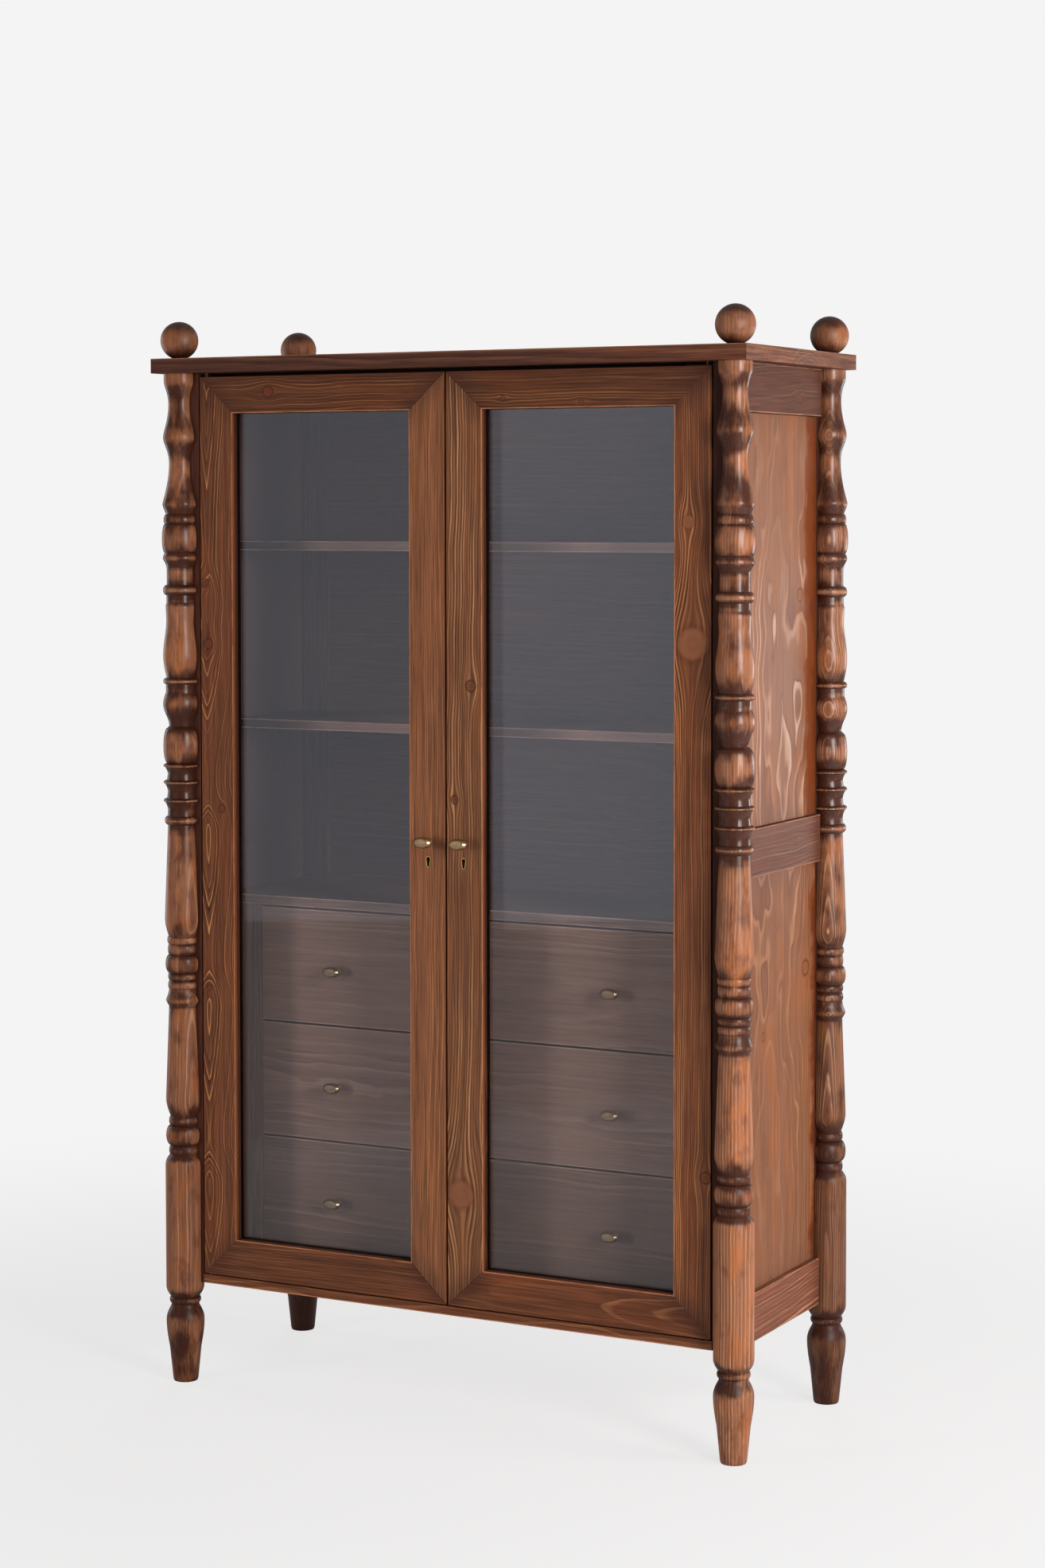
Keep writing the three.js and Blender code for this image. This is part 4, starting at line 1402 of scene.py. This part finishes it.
@dataclass
class BallFinials:
    """The balls that stand on the top board over the posts."""

    radius: float = 0.0354
    flat: float = 0.0013
    sides: int = 64
    rings: int = 40

    def build(self) -> None:
        """Turns a ball and copies it over each post."""
        centre = self.radius - self.flat
        start = math.acos((self.radius - self.flat) / self.radius)
        rows = [(0.0, 0.0)]
        for i in range(self.rings):
            turn = start + (math.pi - start) * i / self.rings
            rows.append((centre - self.radius * math.cos(turn), self.radius * math.sin(turn)))
        rows.append((centre + self.radius, 0.0))
        ball = Bench.turn("ball_pattern", rows, self.sides, 50.0)
        glaze_and_shade = ball.data.attributes.new("glaze_and_shade", "FLOAT", "POINT")
        for i, vertex in enumerate(ball.data.vertices):
            level = (vertex.co.z - centre) / self.radius
            # Painted shade: the ball darkens towards its top and its bottom
            glaze_and_shade.data[i].value = 0.95 * max(0.0, abs(level + 0.05) - 0.28) / 0.72
        for number, (row, side) in enumerate(
            (row, side) for row in ("front", "rear") for side in ("left", "right")
        ):
            node = f"finial_ball_{row}_{side}"
            low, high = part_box(node)
            middle = (low + high) / 2
            place = Vector((middle.x, middle.y, low.z))
            piece = Bench.copy(ball, f"ball_{row}_{side}", place)
            finish = TurnedPine(
                heart=(0.21, 0.11), seed=4.0 + 6.1 * number, low_rings=0.28, low_tone=0.96, low_glaze=0.1,
                patchy=1.8,
            )
            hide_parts(node)
            Bench.dress(piece, finish.material(piece.name, place), Slot.TURNED, "cabinet")
        bpy.data.objects.remove(ball)


# Boards


@dataclass
class JoinedBoards:
    """Boards that keep their CAD shape, with eased edges and a finish of their own."""

    body: str
    slot: Slot
    boards: dict[str, PineBoard]

    def build(self) -> None:
        """Dresses each board."""
        for node, finish in self.boards.items():
            Bench.dress_board(node, finish, self.slot, self.body)


# Painted shadow of the door stiles along the shelves' front edges: their tone from end to end
SHELF_STILE_SHADOW = (
    (0.0, 0.16), (0.11, 0.18), (0.2, 0.7), (0.3, 1.05), (0.44, 1.05), (0.5, 0.5), (0.575, 0.4), (0.68, 0.95),
    (0.75, 1.05), (1.0, 1.05),
)


def carcass_boards() -> list[JoinedBoards]:
    """Lists the boards of the standing carcass.

    Returns:
        The groups of boards, by their slot.
    """
    stained = {
        "top_board": PineBoard(
            TOP_STAIN, Axis.X, Axis.Z, (0.02, -0.09), (0.01, 0.004), ring=0.0072, wander=0.005,
            flutter=0.0014,
            contrast=1.3, broad=0.3, arris=0.7, seed=2.0, edged=1.2,
            dim=((0.0, 1.05), (0.55, 1.05), (0.72, 1.2), (0.86, 1.4), (1.0, 1.45)),
        ),
        "bottom_board": PineBoard(
            DOOR_STAIN, Axis.X, Axis.Z, (-0.05, -0.06), (0.0, 0.04), ring=0.0060, wander=0.014, seed=5.0,
        ),
        "plinth_rail": PineBoard(
            INNER_STAIN, Axis.X, Axis.Y, (0.0, 0.05), (0.01, 0.02), seed=6.0, contrast=0.6,
        ),
        "door_stop_rail": PineBoard(
            SHADE_STAIN, Axis.X, Axis.Y, (0.0, 0.05), (0.01, 0.02), seed=7.0, arris=0.0,
        ),
    }
    panels = {}
    for number, side in enumerate(("left", "right")):
        toward = 1 - 2 * number
        for row in ("front", "rear"):
            stained[f"corner_stile_{row}_{side}"] = PineBoard(
                CORNER_STAIN, Axis.Z, Axis.X, (0.06, 0.02), (0.004, 0.0), seed=10.0 + number * 3 + len(row),
                contrast=0.7, arris=0.0, tone=(0.62, 1.05)[side == "left"],
            )
        for level, tone, contrast in (("bottom", 1.26, 1.9), ("middle", 0.78, 0.9), ("top", 0.60, 0.8)):
            stained[f"side_rail_{level}_{side}"] = PineBoard(
                RAIL_STAIN, Axis.Y, Axis.X, (0.09 if level == "middle" else -0.08, 0.05 * toward),
                (0.03, 0.02),
                ring=0.0064, wander=0.012, contrast=contrast, end_shade=0.5,
                seed=20.0 + number * 5 + len(level),
                broad=0.28, knots={
                    "bottom": (), "middle": (Knot(0.06, 1.058, 0.007),), "top": (Knot(0.075, 1.853, 0.008),),
                }[level],
                tone=tone, inward=toward,
            )
        for level, heart in (("upper", (0.03, 0.30)), ("lower", (-0.06, 0.26))):
            panels[f"side_panel_{level}_{side}"] = PineBoard(
                SIDE_STAIN, Axis.Z, Axis.X, (heart[0], heart[1] * toward), (0.02, 0.02 * toward),
                ring=0.0090, wander=0.012, flutter=0.050, swirl=5.5, relief=0.6, arris=0.0, grit=0.55,
                contrast=2.6 if level == "upper" else 1.5, end_shade=0.35,
                band=0.26 if level == "upper" else 0.16,
                tone=0.97,
                figure=((0.0, 0.9), (0.5, 1.0), (0.68, 0.35), (1.0, 0.2)) if level == "upper" else (),
                inward=toward, post_shade=0.048 if level == "upper" else 0.02,
                seed=40.0 + number * 7 + len(level) * 1.3 + (3.0 if level == "upper" else 0.0),
                knots=(Knot(1.50, 0.10, 0.012),) if level == "upper" else (
                    Knot(0.72, -0.06, 0.008), Knot(0.82, 0.13, 0.014)),
            )
    inner = {
        "back_panel": PineBoard(
            BACK_STAIN, Axis.X, Axis.Y, (0.1, 0.12), (0.01, 0.01), ring=0.011, wander=0.03, flutter=0.006,
            arris=0.0, seed=60.0, relief=0.2, grit=0.5,
        ),
        "drawer_unit_top": PineBoard(
            INNER_STAIN, Axis.X, Axis.Z, (-0.04, -0.05), (0.01, 0.02), seed=65.0, contrast=0.4, tone=0.7,
        ),
    }
    for number, (side, across) in enumerate((("left", 0.03), ("right", -0.03))):
        inner[f"back_stile_{side}"] = PineBoard(
            BACK_STAIN, Axis.Z, Axis.Y, (across, 0.03), (0.01, 0.02), seed=61.0 + number, relief=0.3,
        )
        inner[f"drawer_guide_{side}"] = PineBoard(
            INNER_STAIN, Axis.Z, Axis.X, (0.0, 0.05), (0.01, 0.02), seed=66.0 + number, contrast=0.4,
            tone=0.7,
        )
    for number, (level, across) in enumerate((("upper", 0.02), ("lower", -0.04))):
        inner[f"shelf_{level}"] = PineBoard(
            INNER_STAIN, Axis.X, Axis.Z, (across, -0.05), (0.01, 0.02), dim=SHELF_STILE_SHADOW, seed=63.0 + number,
            contrast=0.4, relief=0.3, tone=1.08, grit=0.4,
        )
    return [
        JoinedBoards("cabinet", Slot.STAINED, stained),
        JoinedBoards("cabinet", Slot.PANEL, panels),
        JoinedBoards("cabinet", Slot.INNER, inner),
    ]


# Brass furniture


@dataclass
class OvalPull:
    """An oval brass pull: a short stem under a wide head with a chamfered rim."""

    width: float = 0.037
    height: float = 0.0213
    length: float = 0.030
    stem: float = 0.005
    sides: int = 72

    def build(self, name: str, face: Vector) -> bpy.types.Object:
        """Makes a pull that stands out of a face towards -Y.

        Args:
            name: the piece's name.
            face: the point of the face that it stands on.

        Returns:
            The pull.
        """
        half = self.width / 2
        shares = (
            (0.0, 0.0), (0.0, 0.46), (0.03, 0.5), (0.07, 0.49), (0.10, 0.36), (0.16, 0.29), (0.32, 0.27),
            (0.44, 0.33), (0.52, 0.5), (0.57, 0.72), (0.61, 0.9), (0.66, 0.975), (0.71, 1.0), (0.75, 0.995),
            (0.79, 0.97), (0.85, 0.89), (0.90, 0.81), (0.94, 0.76), (0.965, 0.70), (0.982, 0.58),
            (0.993, 0.40), (0.999, 0.2), (1.0, 0.0),
        )
        rows = [(self.length * z, half * r) for z, r in shares]
        pull = Bench.turn(name, rows, self.sides, 55.0)
        Bench.modify(pull, "SUBSURF", levels=1, render_levels=1)
        pull.scale = (1.0, self.height / self.width, 1.0)
        pull.rotation_euler = (math.pi / 2, 0.0, 0.0)
        pull.location = face
        Bench.settle(pull)
        return pull

    def fit(self, name: str, node: str, brass: bpy.types.Material, body: str) -> None:
        """Puts a pull in the place of a CAD knob.

        Args:
            name: the pull's name.
            node: the knob's node.
            brass: its finish.
            body: the CAD body.
        """
        low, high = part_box(node)
        pull = self.build(name, Vector(((low.x + high.x) / 2, high.y, (low.z + high.z) / 2)))
        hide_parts(node)
        Bench.dress(pull, brass, Slot.BRASS, body)


@dataclass
class KeyholeLining:
    """A thin brass lining let into the keyhole."""

    height: float = 0.0215
    ring_radius: float = 0.0054
    foot_radius: float = 0.0036
    wall: float = 0.0017
    depth: float = 0.004
    proud: float = 0.0004
    arc_steps: int = 20

    def loop(self, grow: float) -> list[tuple[float, float]]:
        """Works out the keyhole's outline.

        Args:
            grow: how far it is set out from the lining's outer edge.

        Returns:
            The points, from the middle of the keyhole's box.
        """
        top, foot = self.ring_radius + grow, self.foot_radius + grow
        up, down = self.height / 2 - self.ring_radius, -self.height / 2 + self.foot_radius
        lean = math.asin((self.ring_radius - self.foot_radius) / (up - down))
        points = []
        for i in range(self.arc_steps + 1):
            turn = -lean + (math.pi + 2 * lean) * i / self.arc_steps
            points.append((top * math.cos(turn), up + top * math.sin(turn)))
        for i in range(self.arc_steps + 1):
            turn = math.pi + lean + (math.pi - 2 * lean) * i / self.arc_steps
            points.append((foot * math.cos(turn), down + foot * math.sin(turn)))
        return points

    def build(self, name: str, middle: Vector, face_y: float) -> bpy.types.Object:
        """Makes the lining round a keyhole in a door's face.

        Args:
            name: the piece's name.
            middle: the middle of the keyhole.
            face_y: where the face lies.

        Returns:
            The lining.
        """
        outer, inner = self.loop(0.0), self.loop(-self.wall)
        front, back = face_y - self.proud, face_y + self.depth
        count = len(outer)
        points = [
            (middle.x + x, y, middle.z + z)
            for y, loop in ((front, outer), (front, inner), (back, outer), (back, inner))
            for x, z in loop
        ]
        faces = []
        for i in range(count):
            j = (i + 1) % count
            faces += [
                (i, j, count + j, count + i),
                (2 * count + i, 2 * count + j, j, i),
                (count + i, count + j, 3 * count + j, 3 * count + i),
                (3 * count + i, 3 * count + j, 2 * count + j, 2 * count + i),
            ]
        mesh = bpy.data.meshes.new(name)
        mesh.from_pydata(points, [], faces)
        piece = bpy.data.objects.new(name, mesh)
        bpy.context.scene.collection.objects.link(piece)
        Bench.edit(piece)
        Bench.close()
        Bench.modify(
            piece, "BEVEL", width=0.00035, segments=2, limit_method="ANGLE", angle_limit=math.radians(50)
        )
        Bench.take(piece)
        bpy.ops.object.shade_smooth_by_angle(angle=math.radians(35))
        return piece


# Doors and drawers


@dataclass
class GlazedDoor:
    """A framed glass door with mitred corners, its pull, keyhole, lock and glazing beads."""

    side: str
    sign: int
    finishes: dict[str, PineBoard]
    brass: bpy.types.Material
    bright_brass: bpy.types.Material
    glass: bpy.types.Material
    face_y: float = -0.2075
    back_y: float = -0.1815
    glass_back_y: float = -0.1862
    opening_x: tuple[float, float] = (0.0755, 0.455)
    opening_z: tuple[float, float] = (0.280, 1.8335)
    rebate: float = 0.0072
    bead_width: float = 0.0085
    ease: float = 0.0010
    lock_size: tuple[float, float, float] = (0.032, 0.009, 0.060)
    pull: OvalPull = field(default_factory=OvalPull)
    lining: KeyholeLining = field(default_factory=KeyholeLining)

    @property
    def body(self) -> str:
        """Returns the CAD body of the door."""
        return f"door_{self.side}"

    def build(self) -> None:
        """Builds the door."""
        for part, finish in self.finishes.items():
            Bench.dress_board(f"{self.body}_{part}", finish, Slot.STAINED, self.body, self.ease)
        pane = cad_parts[f"{self.body}_glass"]
        pane.data.materials.clear()
        pane.data.materials.append(self.glass)
        self.fit_brass()
        self.fit_beads()
        self.fit_lock()

    def fit_brass(self) -> None:
        """Fits the pull and the keyhole lining."""
        self.pull.fit(f"{self.body}_pull", f"{self.body}_knob", self.brass, self.body)
        low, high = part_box(f"{self.body}_escutcheon")
        lining = self.lining.build(f"{self.body}_keyhole_lining", (low + high) / 2, self.face_y)
        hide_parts(f"{self.body}_escutcheon")
        Bench.dress(lining, self.bright_brass, Slot.BRASS, self.body)

    def fit_beads(self) -> None:
        """Lays a mitred glazing bead round the back of the pane."""
        x_low, x_high = (
            self.opening_x if self.sign > 0 else (-self.opening_x[1], -self.opening_x[0])
        )
        z_low, z_high = self.opening_z
        out, into = self.rebate, self.bead_width - self.rebate
        bead = Bench.block(
            f"{self.body}_glazing_bead", Vector((x_low - out, self.glass_back_y + 0.0002, z_low - out)),
            Vector((x_high + out, self.back_y - 0.0004, z_high + out)),
        )
        Bench.pick_faces(bead, lambda normal: abs(normal.y) > 0.9)
        bpy.ops.mesh.inset(thickness=out + into)
        bpy.ops.mesh.bridge_edge_loops()
        Bench.close()
        Bench.modify(
            bead, "BEVEL", width=0.0008, segments=2, limit_method="ANGLE", angle_limit=math.radians(40)
        )
        low, high = Vector((x_low, self.glass_back_y, z_low)), Vector((x_high, self.back_y, z_high))
        finish = PineBoard(SHADE_STAIN, Axis.Z, Axis.Y, (0.3, 0.1), seed=81.0, arris=0.0)
        Bench.dress(bead, finish.material(bead.name, low, high), Slot.STAINED, self.body)

    def fit_lock(self) -> None:
        """Screws a lock case to the inner face behind the keyhole."""
        low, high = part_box(f"{self.body}_escutcheon")
        middle = (low + high) / 2
        wide, deep, tall = self.lock_size
        plate = Bench.block(
            f"{self.body}_lock_case",
            Vector((middle.x - wide / 2, self.back_y - 0.0002, middle.z - tall / 2)),
            Vector((middle.x + wide / 2, self.back_y + deep, middle.z + tall / 2)),
        )
        Bench.pick_faces(plate, lambda normal: normal.y > 0.9)
        bpy.ops.mesh.inset(thickness=0.003)
        bpy.ops.transform.translate(value=(0.0, 0.0015, 0.0))
        Bench.close()
        Bench.modify(
            plate, "BEVEL", width=0.0009, segments=2, limit_method="ANGLE", angle_limit=math.radians(20)
        )
        Bench.dress(plate, self.brass, Slot.BRASS, self.body)


@dataclass
class WideDrawer:
    """A drawer across the whole hutch with two pulls."""

    level: str
    front: PineBoard
    box: PineBoard
    brass: bpy.types.Material
    pull: OvalPull = field(default_factory=OvalPull)

    def build(self) -> None:
        """Dresses the front and the box, and fits the pulls."""
        body = f"drawer_{self.level}"
        for part, finish in (("front", self.front), ("box", self.box)):
            Bench.dress_board(f"{body}_{part}", finish, Slot.INNER, body)
        for side in ("left", "right"):
            self.pull.fit(f"{body}_pull_{side}", f"{body}_knob_{side}", self.brass, body)


def door_finishes() -> dict[str, dict[str, PineBoard]]:
    """Chooses the boards of the two doors.

    Returns:
        For each door, the finish of each member.
    """
    return {
        "left": {
            "hanging_stile": PineBoard(
                heart=(-0.022, -0.013), lean=(0.002, 0.0), ring=0.0050, wander=0.004, flutter=0.0030,
                end_shade=0.4,
                mitre=-1.0, knots=(
                    Knot(1.517, -0.517, 0.008), Knot(1.403, -0.510, 0.009), Knot(1.094, -0.482, 0.007),
                    Knot(0.755, -0.512, 0.006),
                ),
                seed=100.0, contrast=2.1, broad=0.12, tone=1.02, jamb=1,
                path=((0.0, 0.05), (0.105, 0.002), (0.15, 0.068), (0.30, 0.002), (0.35, 0.066), (0.50, 0.001),
                      (0.55, 0.082), (0.69, 0.003), (0.72, 0.026), (0.755, 0.001), (0.80, 0.046),
                      (0.985, 0.001),
                      (1.0, 0.012)),
            ),
            "meeting_stile": PineBoard(
                stain=MEETING_STAIN, heart=(0.14, 0.05), lean=(0.004, 0.0), ring=0.0046, contrast=0.5,
                end_shade=0.5, mitre=1.0, wander=0.02, seed=103.0, tone=1.45, broad=0.3, jamb=-1,
            ),
            "top_rail": PineBoard(
                grain=Axis.X, heart=(0.10, 0.045), lean=(0.01, 0.0), ring=0.0052, flutter=0.005,
                end_shade=0.55,
                mitre=1.0, knots=(Knot(-0.376, 1.872, 0.0105),), seed=107.0, tone=0.72, contrast=1.5,
                broad=0.14,
                jamb=-1,
            ),
            "bottom_rail": PineBoard(
                grain=Axis.X, heart=(0.09, 0.045), lean=(0.012, 0.02), ring=0.0052, end_shade=0.6, mitre=-1.0,
                seed=111.0, contrast=0.5, tone=0.87, flutter=0.003, broad=0.3, jamb=1,
            ),
        },
        "right": {
            "hanging_stile": PineBoard(
                heart=(0.10, 0.045), lean=(0.003, 0.014), ring=0.0036, end_shade=0.7, mitre=1.0,
                flutter=0.0030,
                knots=(
                    Knot(1.633, 0.483, 0.0125, True), Knot(1.422, 0.4905, 0.031, True),
                    Knot(0.493, 0.517, 0.010),
                ),
                seed=114.0, tone=1.0, contrast=1.3, broad=0.26, jamb=-1,
            ),
            "meeting_stile": PineBoard(
                stain=MEETING_STAIN, heart=(-0.09, 0.03), lean=(0.010, 0.0), ring=0.0050, contrast=1.9,
                end_shade=0.55, mitre=-1.0, wander=0.016, seed=119.0, tone=1.10, broad=0.34, jamb=1,
                knots=(
                    Knot(1.338, 0.052, 0.010), Knot(1.132, 0.018, 0.0075), Knot(0.415, 0.030, 0.028, True),
                ),
            ),
            "top_rail": PineBoard(
                grain=Axis.X, heart=(0.12, 0.04), lean=(0.01, 0.0), ring=0.0052, contrast=0.8, end_shade=0.5,
                mitre=1.0, knots=(Knot(0.118, 1.852, 0.005), Knot(0.275, 1.842, 0.005)), seed=123.0,
                tone=0.65,
                broad=0.3, jamb=-1,
            ),
            "bottom_rail": PineBoard(
                grain=Axis.X, heart=(0.0, 0.045), lean=(0.0, -0.035), ring=0.0056, end_shade=0.6, mitre=-1.0,
                broad=0.12, seed=127.0, tone=0.99, wander=0.016, contrast=1.1, jamb=1,
            ),
        },
    }


def drawers(brass: bpy.types.Material) -> list[WideDrawer]:
    """Chooses the boards of the three drawers.

    Args:
        brass: the pulls' finish.

    Returns:
        The drawers.
    """
    made = []
    for number, level in enumerate(("top", "middle", "bottom")):
        front = PineBoard(
            INNER_STAIN, Axis.X, Axis.Y, (0.02 * (number - 1), 0.05), (0.01, 0.012 * (1 - number)),
            ring=0.012,
            wander=0.018, flutter=0.007, seed=140.0 + 5 * number, contrast=1.0, relief=0.4, grit=0.4,
            tone=(0.92, 0.90, 0.68)[number],
        )
        box = PineBoard(
            INNER_STAIN, Axis.Y, Axis.Z, (0.2, -0.05), seed=160.0 + number, arris=0.0, contrast=0.5
        )
        made.append(WideDrawer(level, front, box, brass))
    return made


# The studio


@dataclass
class Studio:
    """The plain pale room: its floor, its light and the camera."""

    camera_place: tuple[float, float, float] = (2.7830, -5.1372, 1.6585)
    yaw: float = -27.43
    pitch: float = 2.653
    roll: float = -0.048
    lens: float = 72.2
    shift: tuple[float, float] = (-0.0213, -0.0836)
    backdrop: Colour = paint(245, 244, 244)
    floor_colour: Colour = (0.66, 0.655, 0.65)
    mirrored_colour: Colour = (0.98, 0.99, 1.0)
    mirrored: float = 0.45
    ambient: float = 0.12

    def aim(self) -> None:
        """Sets up the camera at the photograph's viewing angle."""
        camera = bpy.data.cameras.new("studio_camera")
        camera.sensor_fit = "VERTICAL"
        camera.sensor_height = 36.0
        camera.lens = self.lens
        camera.shift_x, camera.shift_y = self.shift
        camera.clip_start, camera.clip_end = 0.1, 100.0
        stand = bpy.data.objects.new("studio_camera", camera)
        bpy.context.scene.collection.objects.link(stand)
        yaw, pitch, roll = (math.radians(a) for a in (self.yaw, self.pitch, self.roll))
        turn = (
            Matrix.Rotation(-yaw, 4, "Z") @ Matrix.Rotation(math.pi / 2 - pitch, 4, "X")
            @ Matrix.Rotation(roll, 4, "Z")
        )
        stand.matrix_world = Matrix.Translation(Vector(self.camera_place)) @ turn
        bpy.context.scene.camera = stand

    def light_world(self) -> None:
        """Fills the room with soft light, and shows its pale walls to the camera, to metal and to glass."""
        world = bpy.data.worlds.new("studio_world")
        bpy.context.scene.world = world
        world.use_nodes = True
        world.node_tree.nodes.clear()
        graph = Graph(world.node_tree)
        seen, glossy = graph.seen()
        soft = graph.lit("ShaderNodeBackground", (1.0, 1.0, 1.0), self.ambient)
        wall = graph.lit("ShaderNodeBackground", self.backdrop, 1.0)
        mirrored = graph.lit("ShaderNodeBackground", self.mirrored_colour, self.mirrored)
        graph.show(graph.mix(seen, graph.mix(glossy, soft, mirrored), wall), "ShaderNodeOutputWorld")

    def hang(self, name: str, place: tuple[float, float, float], target: tuple[float, float, float],
             size: tuple[float, float], power: float, colour: Colour = (1.0, 1.0, 1.0),
             mirrored: bool = True) -> None:
        """Hangs a soft box.

        Args:
            name: the lamp's name.
            place, target: where it hangs and what it faces.
            size: its width and height.
            power: its power in watts.
            colour: its colour.
            mirrored: whether glossy surfaces show it.
        """
        lamp = bpy.data.lights.new(name, "AREA")
        lamp.shape = "RECTANGLE"
        lamp.size, lamp.size_y = size
        lamp.energy = power
        lamp.color = colour
        stand = bpy.data.objects.new(name, lamp)
        bpy.context.scene.collection.objects.link(stand)
        stand.location = place
        stand.visible_glossy = mirrored
        facing = Vector(target) - Vector(place)
        stand.rotation_euler = facing.to_track_quat("-Z", "Y").to_euler()

    def lay_floor(self) -> None:
        """Lays the pale floor, which fades into the backdrop."""
        Bench.clear()
        bpy.ops.mesh.primitive_circle_add(vertices=96, radius=9.0, fill_type="NGON", location=(0.0, 0.0, 0.0))
        floor = bpy.context.object
        floor.name = "studio_floor"
        material, graph = blank_material("studio_floor_paint")
        x, y, _ = graph.object_place(Vector((-0.25, 0.1, 0.0)))
        seen, glossy = graph.seen()
        matt = graph.node("ShaderNodeBsdfDiffuse")
        matt.inputs["Color"].default_value = (*self.floor_colour, 1.0)
        glow = graph.lit("ShaderNodeEmission", self.backdrop, 1.0)
        fade = graph.times(graph.smooth(graph.apart(x, y), 0.75, 2.6, (0.8, 1.0)), seen)
        wall = graph.lit("ShaderNodeEmission", self.mirrored_colour, self.mirrored)
        beyond = graph.add(graph.times(x, -0.861), graph.times(y, -0.509))
        edge = graph.times(graph.smooth(beyond, 2.1, 2.5), glossy)
        graph.show(graph.mix(edge, graph.mix(fade, matt, glow), wall))
        floor.data.materials.append(material)

    def build(self) -> None:
        """Sets up the room."""
        scene = bpy.context.scene
        scene.view_settings.view_transform = "Standard"
        self.aim()
        self.light_world()
        self.lay_floor()
        self.hang("key_box", (3.72, -2.05, 1.9), (0.1, -0.2, 0.9), (1.0, 1.9), 165.0, (1.0, 0.985, 0.97))
        self.hang(
            "side_box", (3.9, 0.3, 1.5), (0.4, 0.0, 0.9), (1.6, 2.4), 110.0, (1.0, 0.985, 0.97),
            mirrored=False,
        )
        self.hang("front_fill", (-2.85, -3.6, 1.15), (0.0, -0.2, 0.95), (0.8, 1.4), 74.0, mirrored=False)
        self.hang("left_strip", (-3.4, 0.3, 1.4), (0.0, -0.2, 1.1), (0.5, 2.4), 20.0, (0.94, 0.97, 1.0))
        self.hang("pane_wall", (-3.3, -6.2, 1.3), (-0.1, -0.2, 1.1), (3.2, 3.2), 13.0, (0.93, 0.94, 1.0))
        self.hang("pane_window", (-2.35, -6.3, 1.3), (0.2, -0.2, 1.1), (1.5, 3.2), 5.5, (0.98, 0.95, 1.0))
        self.hang("rear_fill", (-1.6, 3.6, 1.8), (0.0, 0.0, 1.0), (2.0, 2.6), 60.0, mirrored=False)
        self.hang("rear_box", (2.2, 3.7, 1.13), (0.6, 0.0, 1.13), (1.2, 0.82), 22.0)


def main() -> None:
    """Builds the room and every sub-assembly in order."""
    logging.basicConfig(level=logging.INFO, format="%(name)s: %(message)s")
    Studio().build()
    TurnedPosts().build()
    BallFinials().build()
    for group in carcass_boards():
        group.build()
    brass = AgedBrass().material("aged_brass")
    bright = AgedBrass(paint(214, 180, 112), paint(150, 112, 62), 0.3).material("bright_brass")
    glass = WindowGlass().material("window_glass")
    finishes = door_finishes()
    for side, sign in (("left", -1), ("right", 1)):
        GlazedDoor(side, sign, finishes[side], brass, bright, glass).build()
    for drawer in drawers(brass):
        drawer.build()


if __name__ == "__main__":
    main()
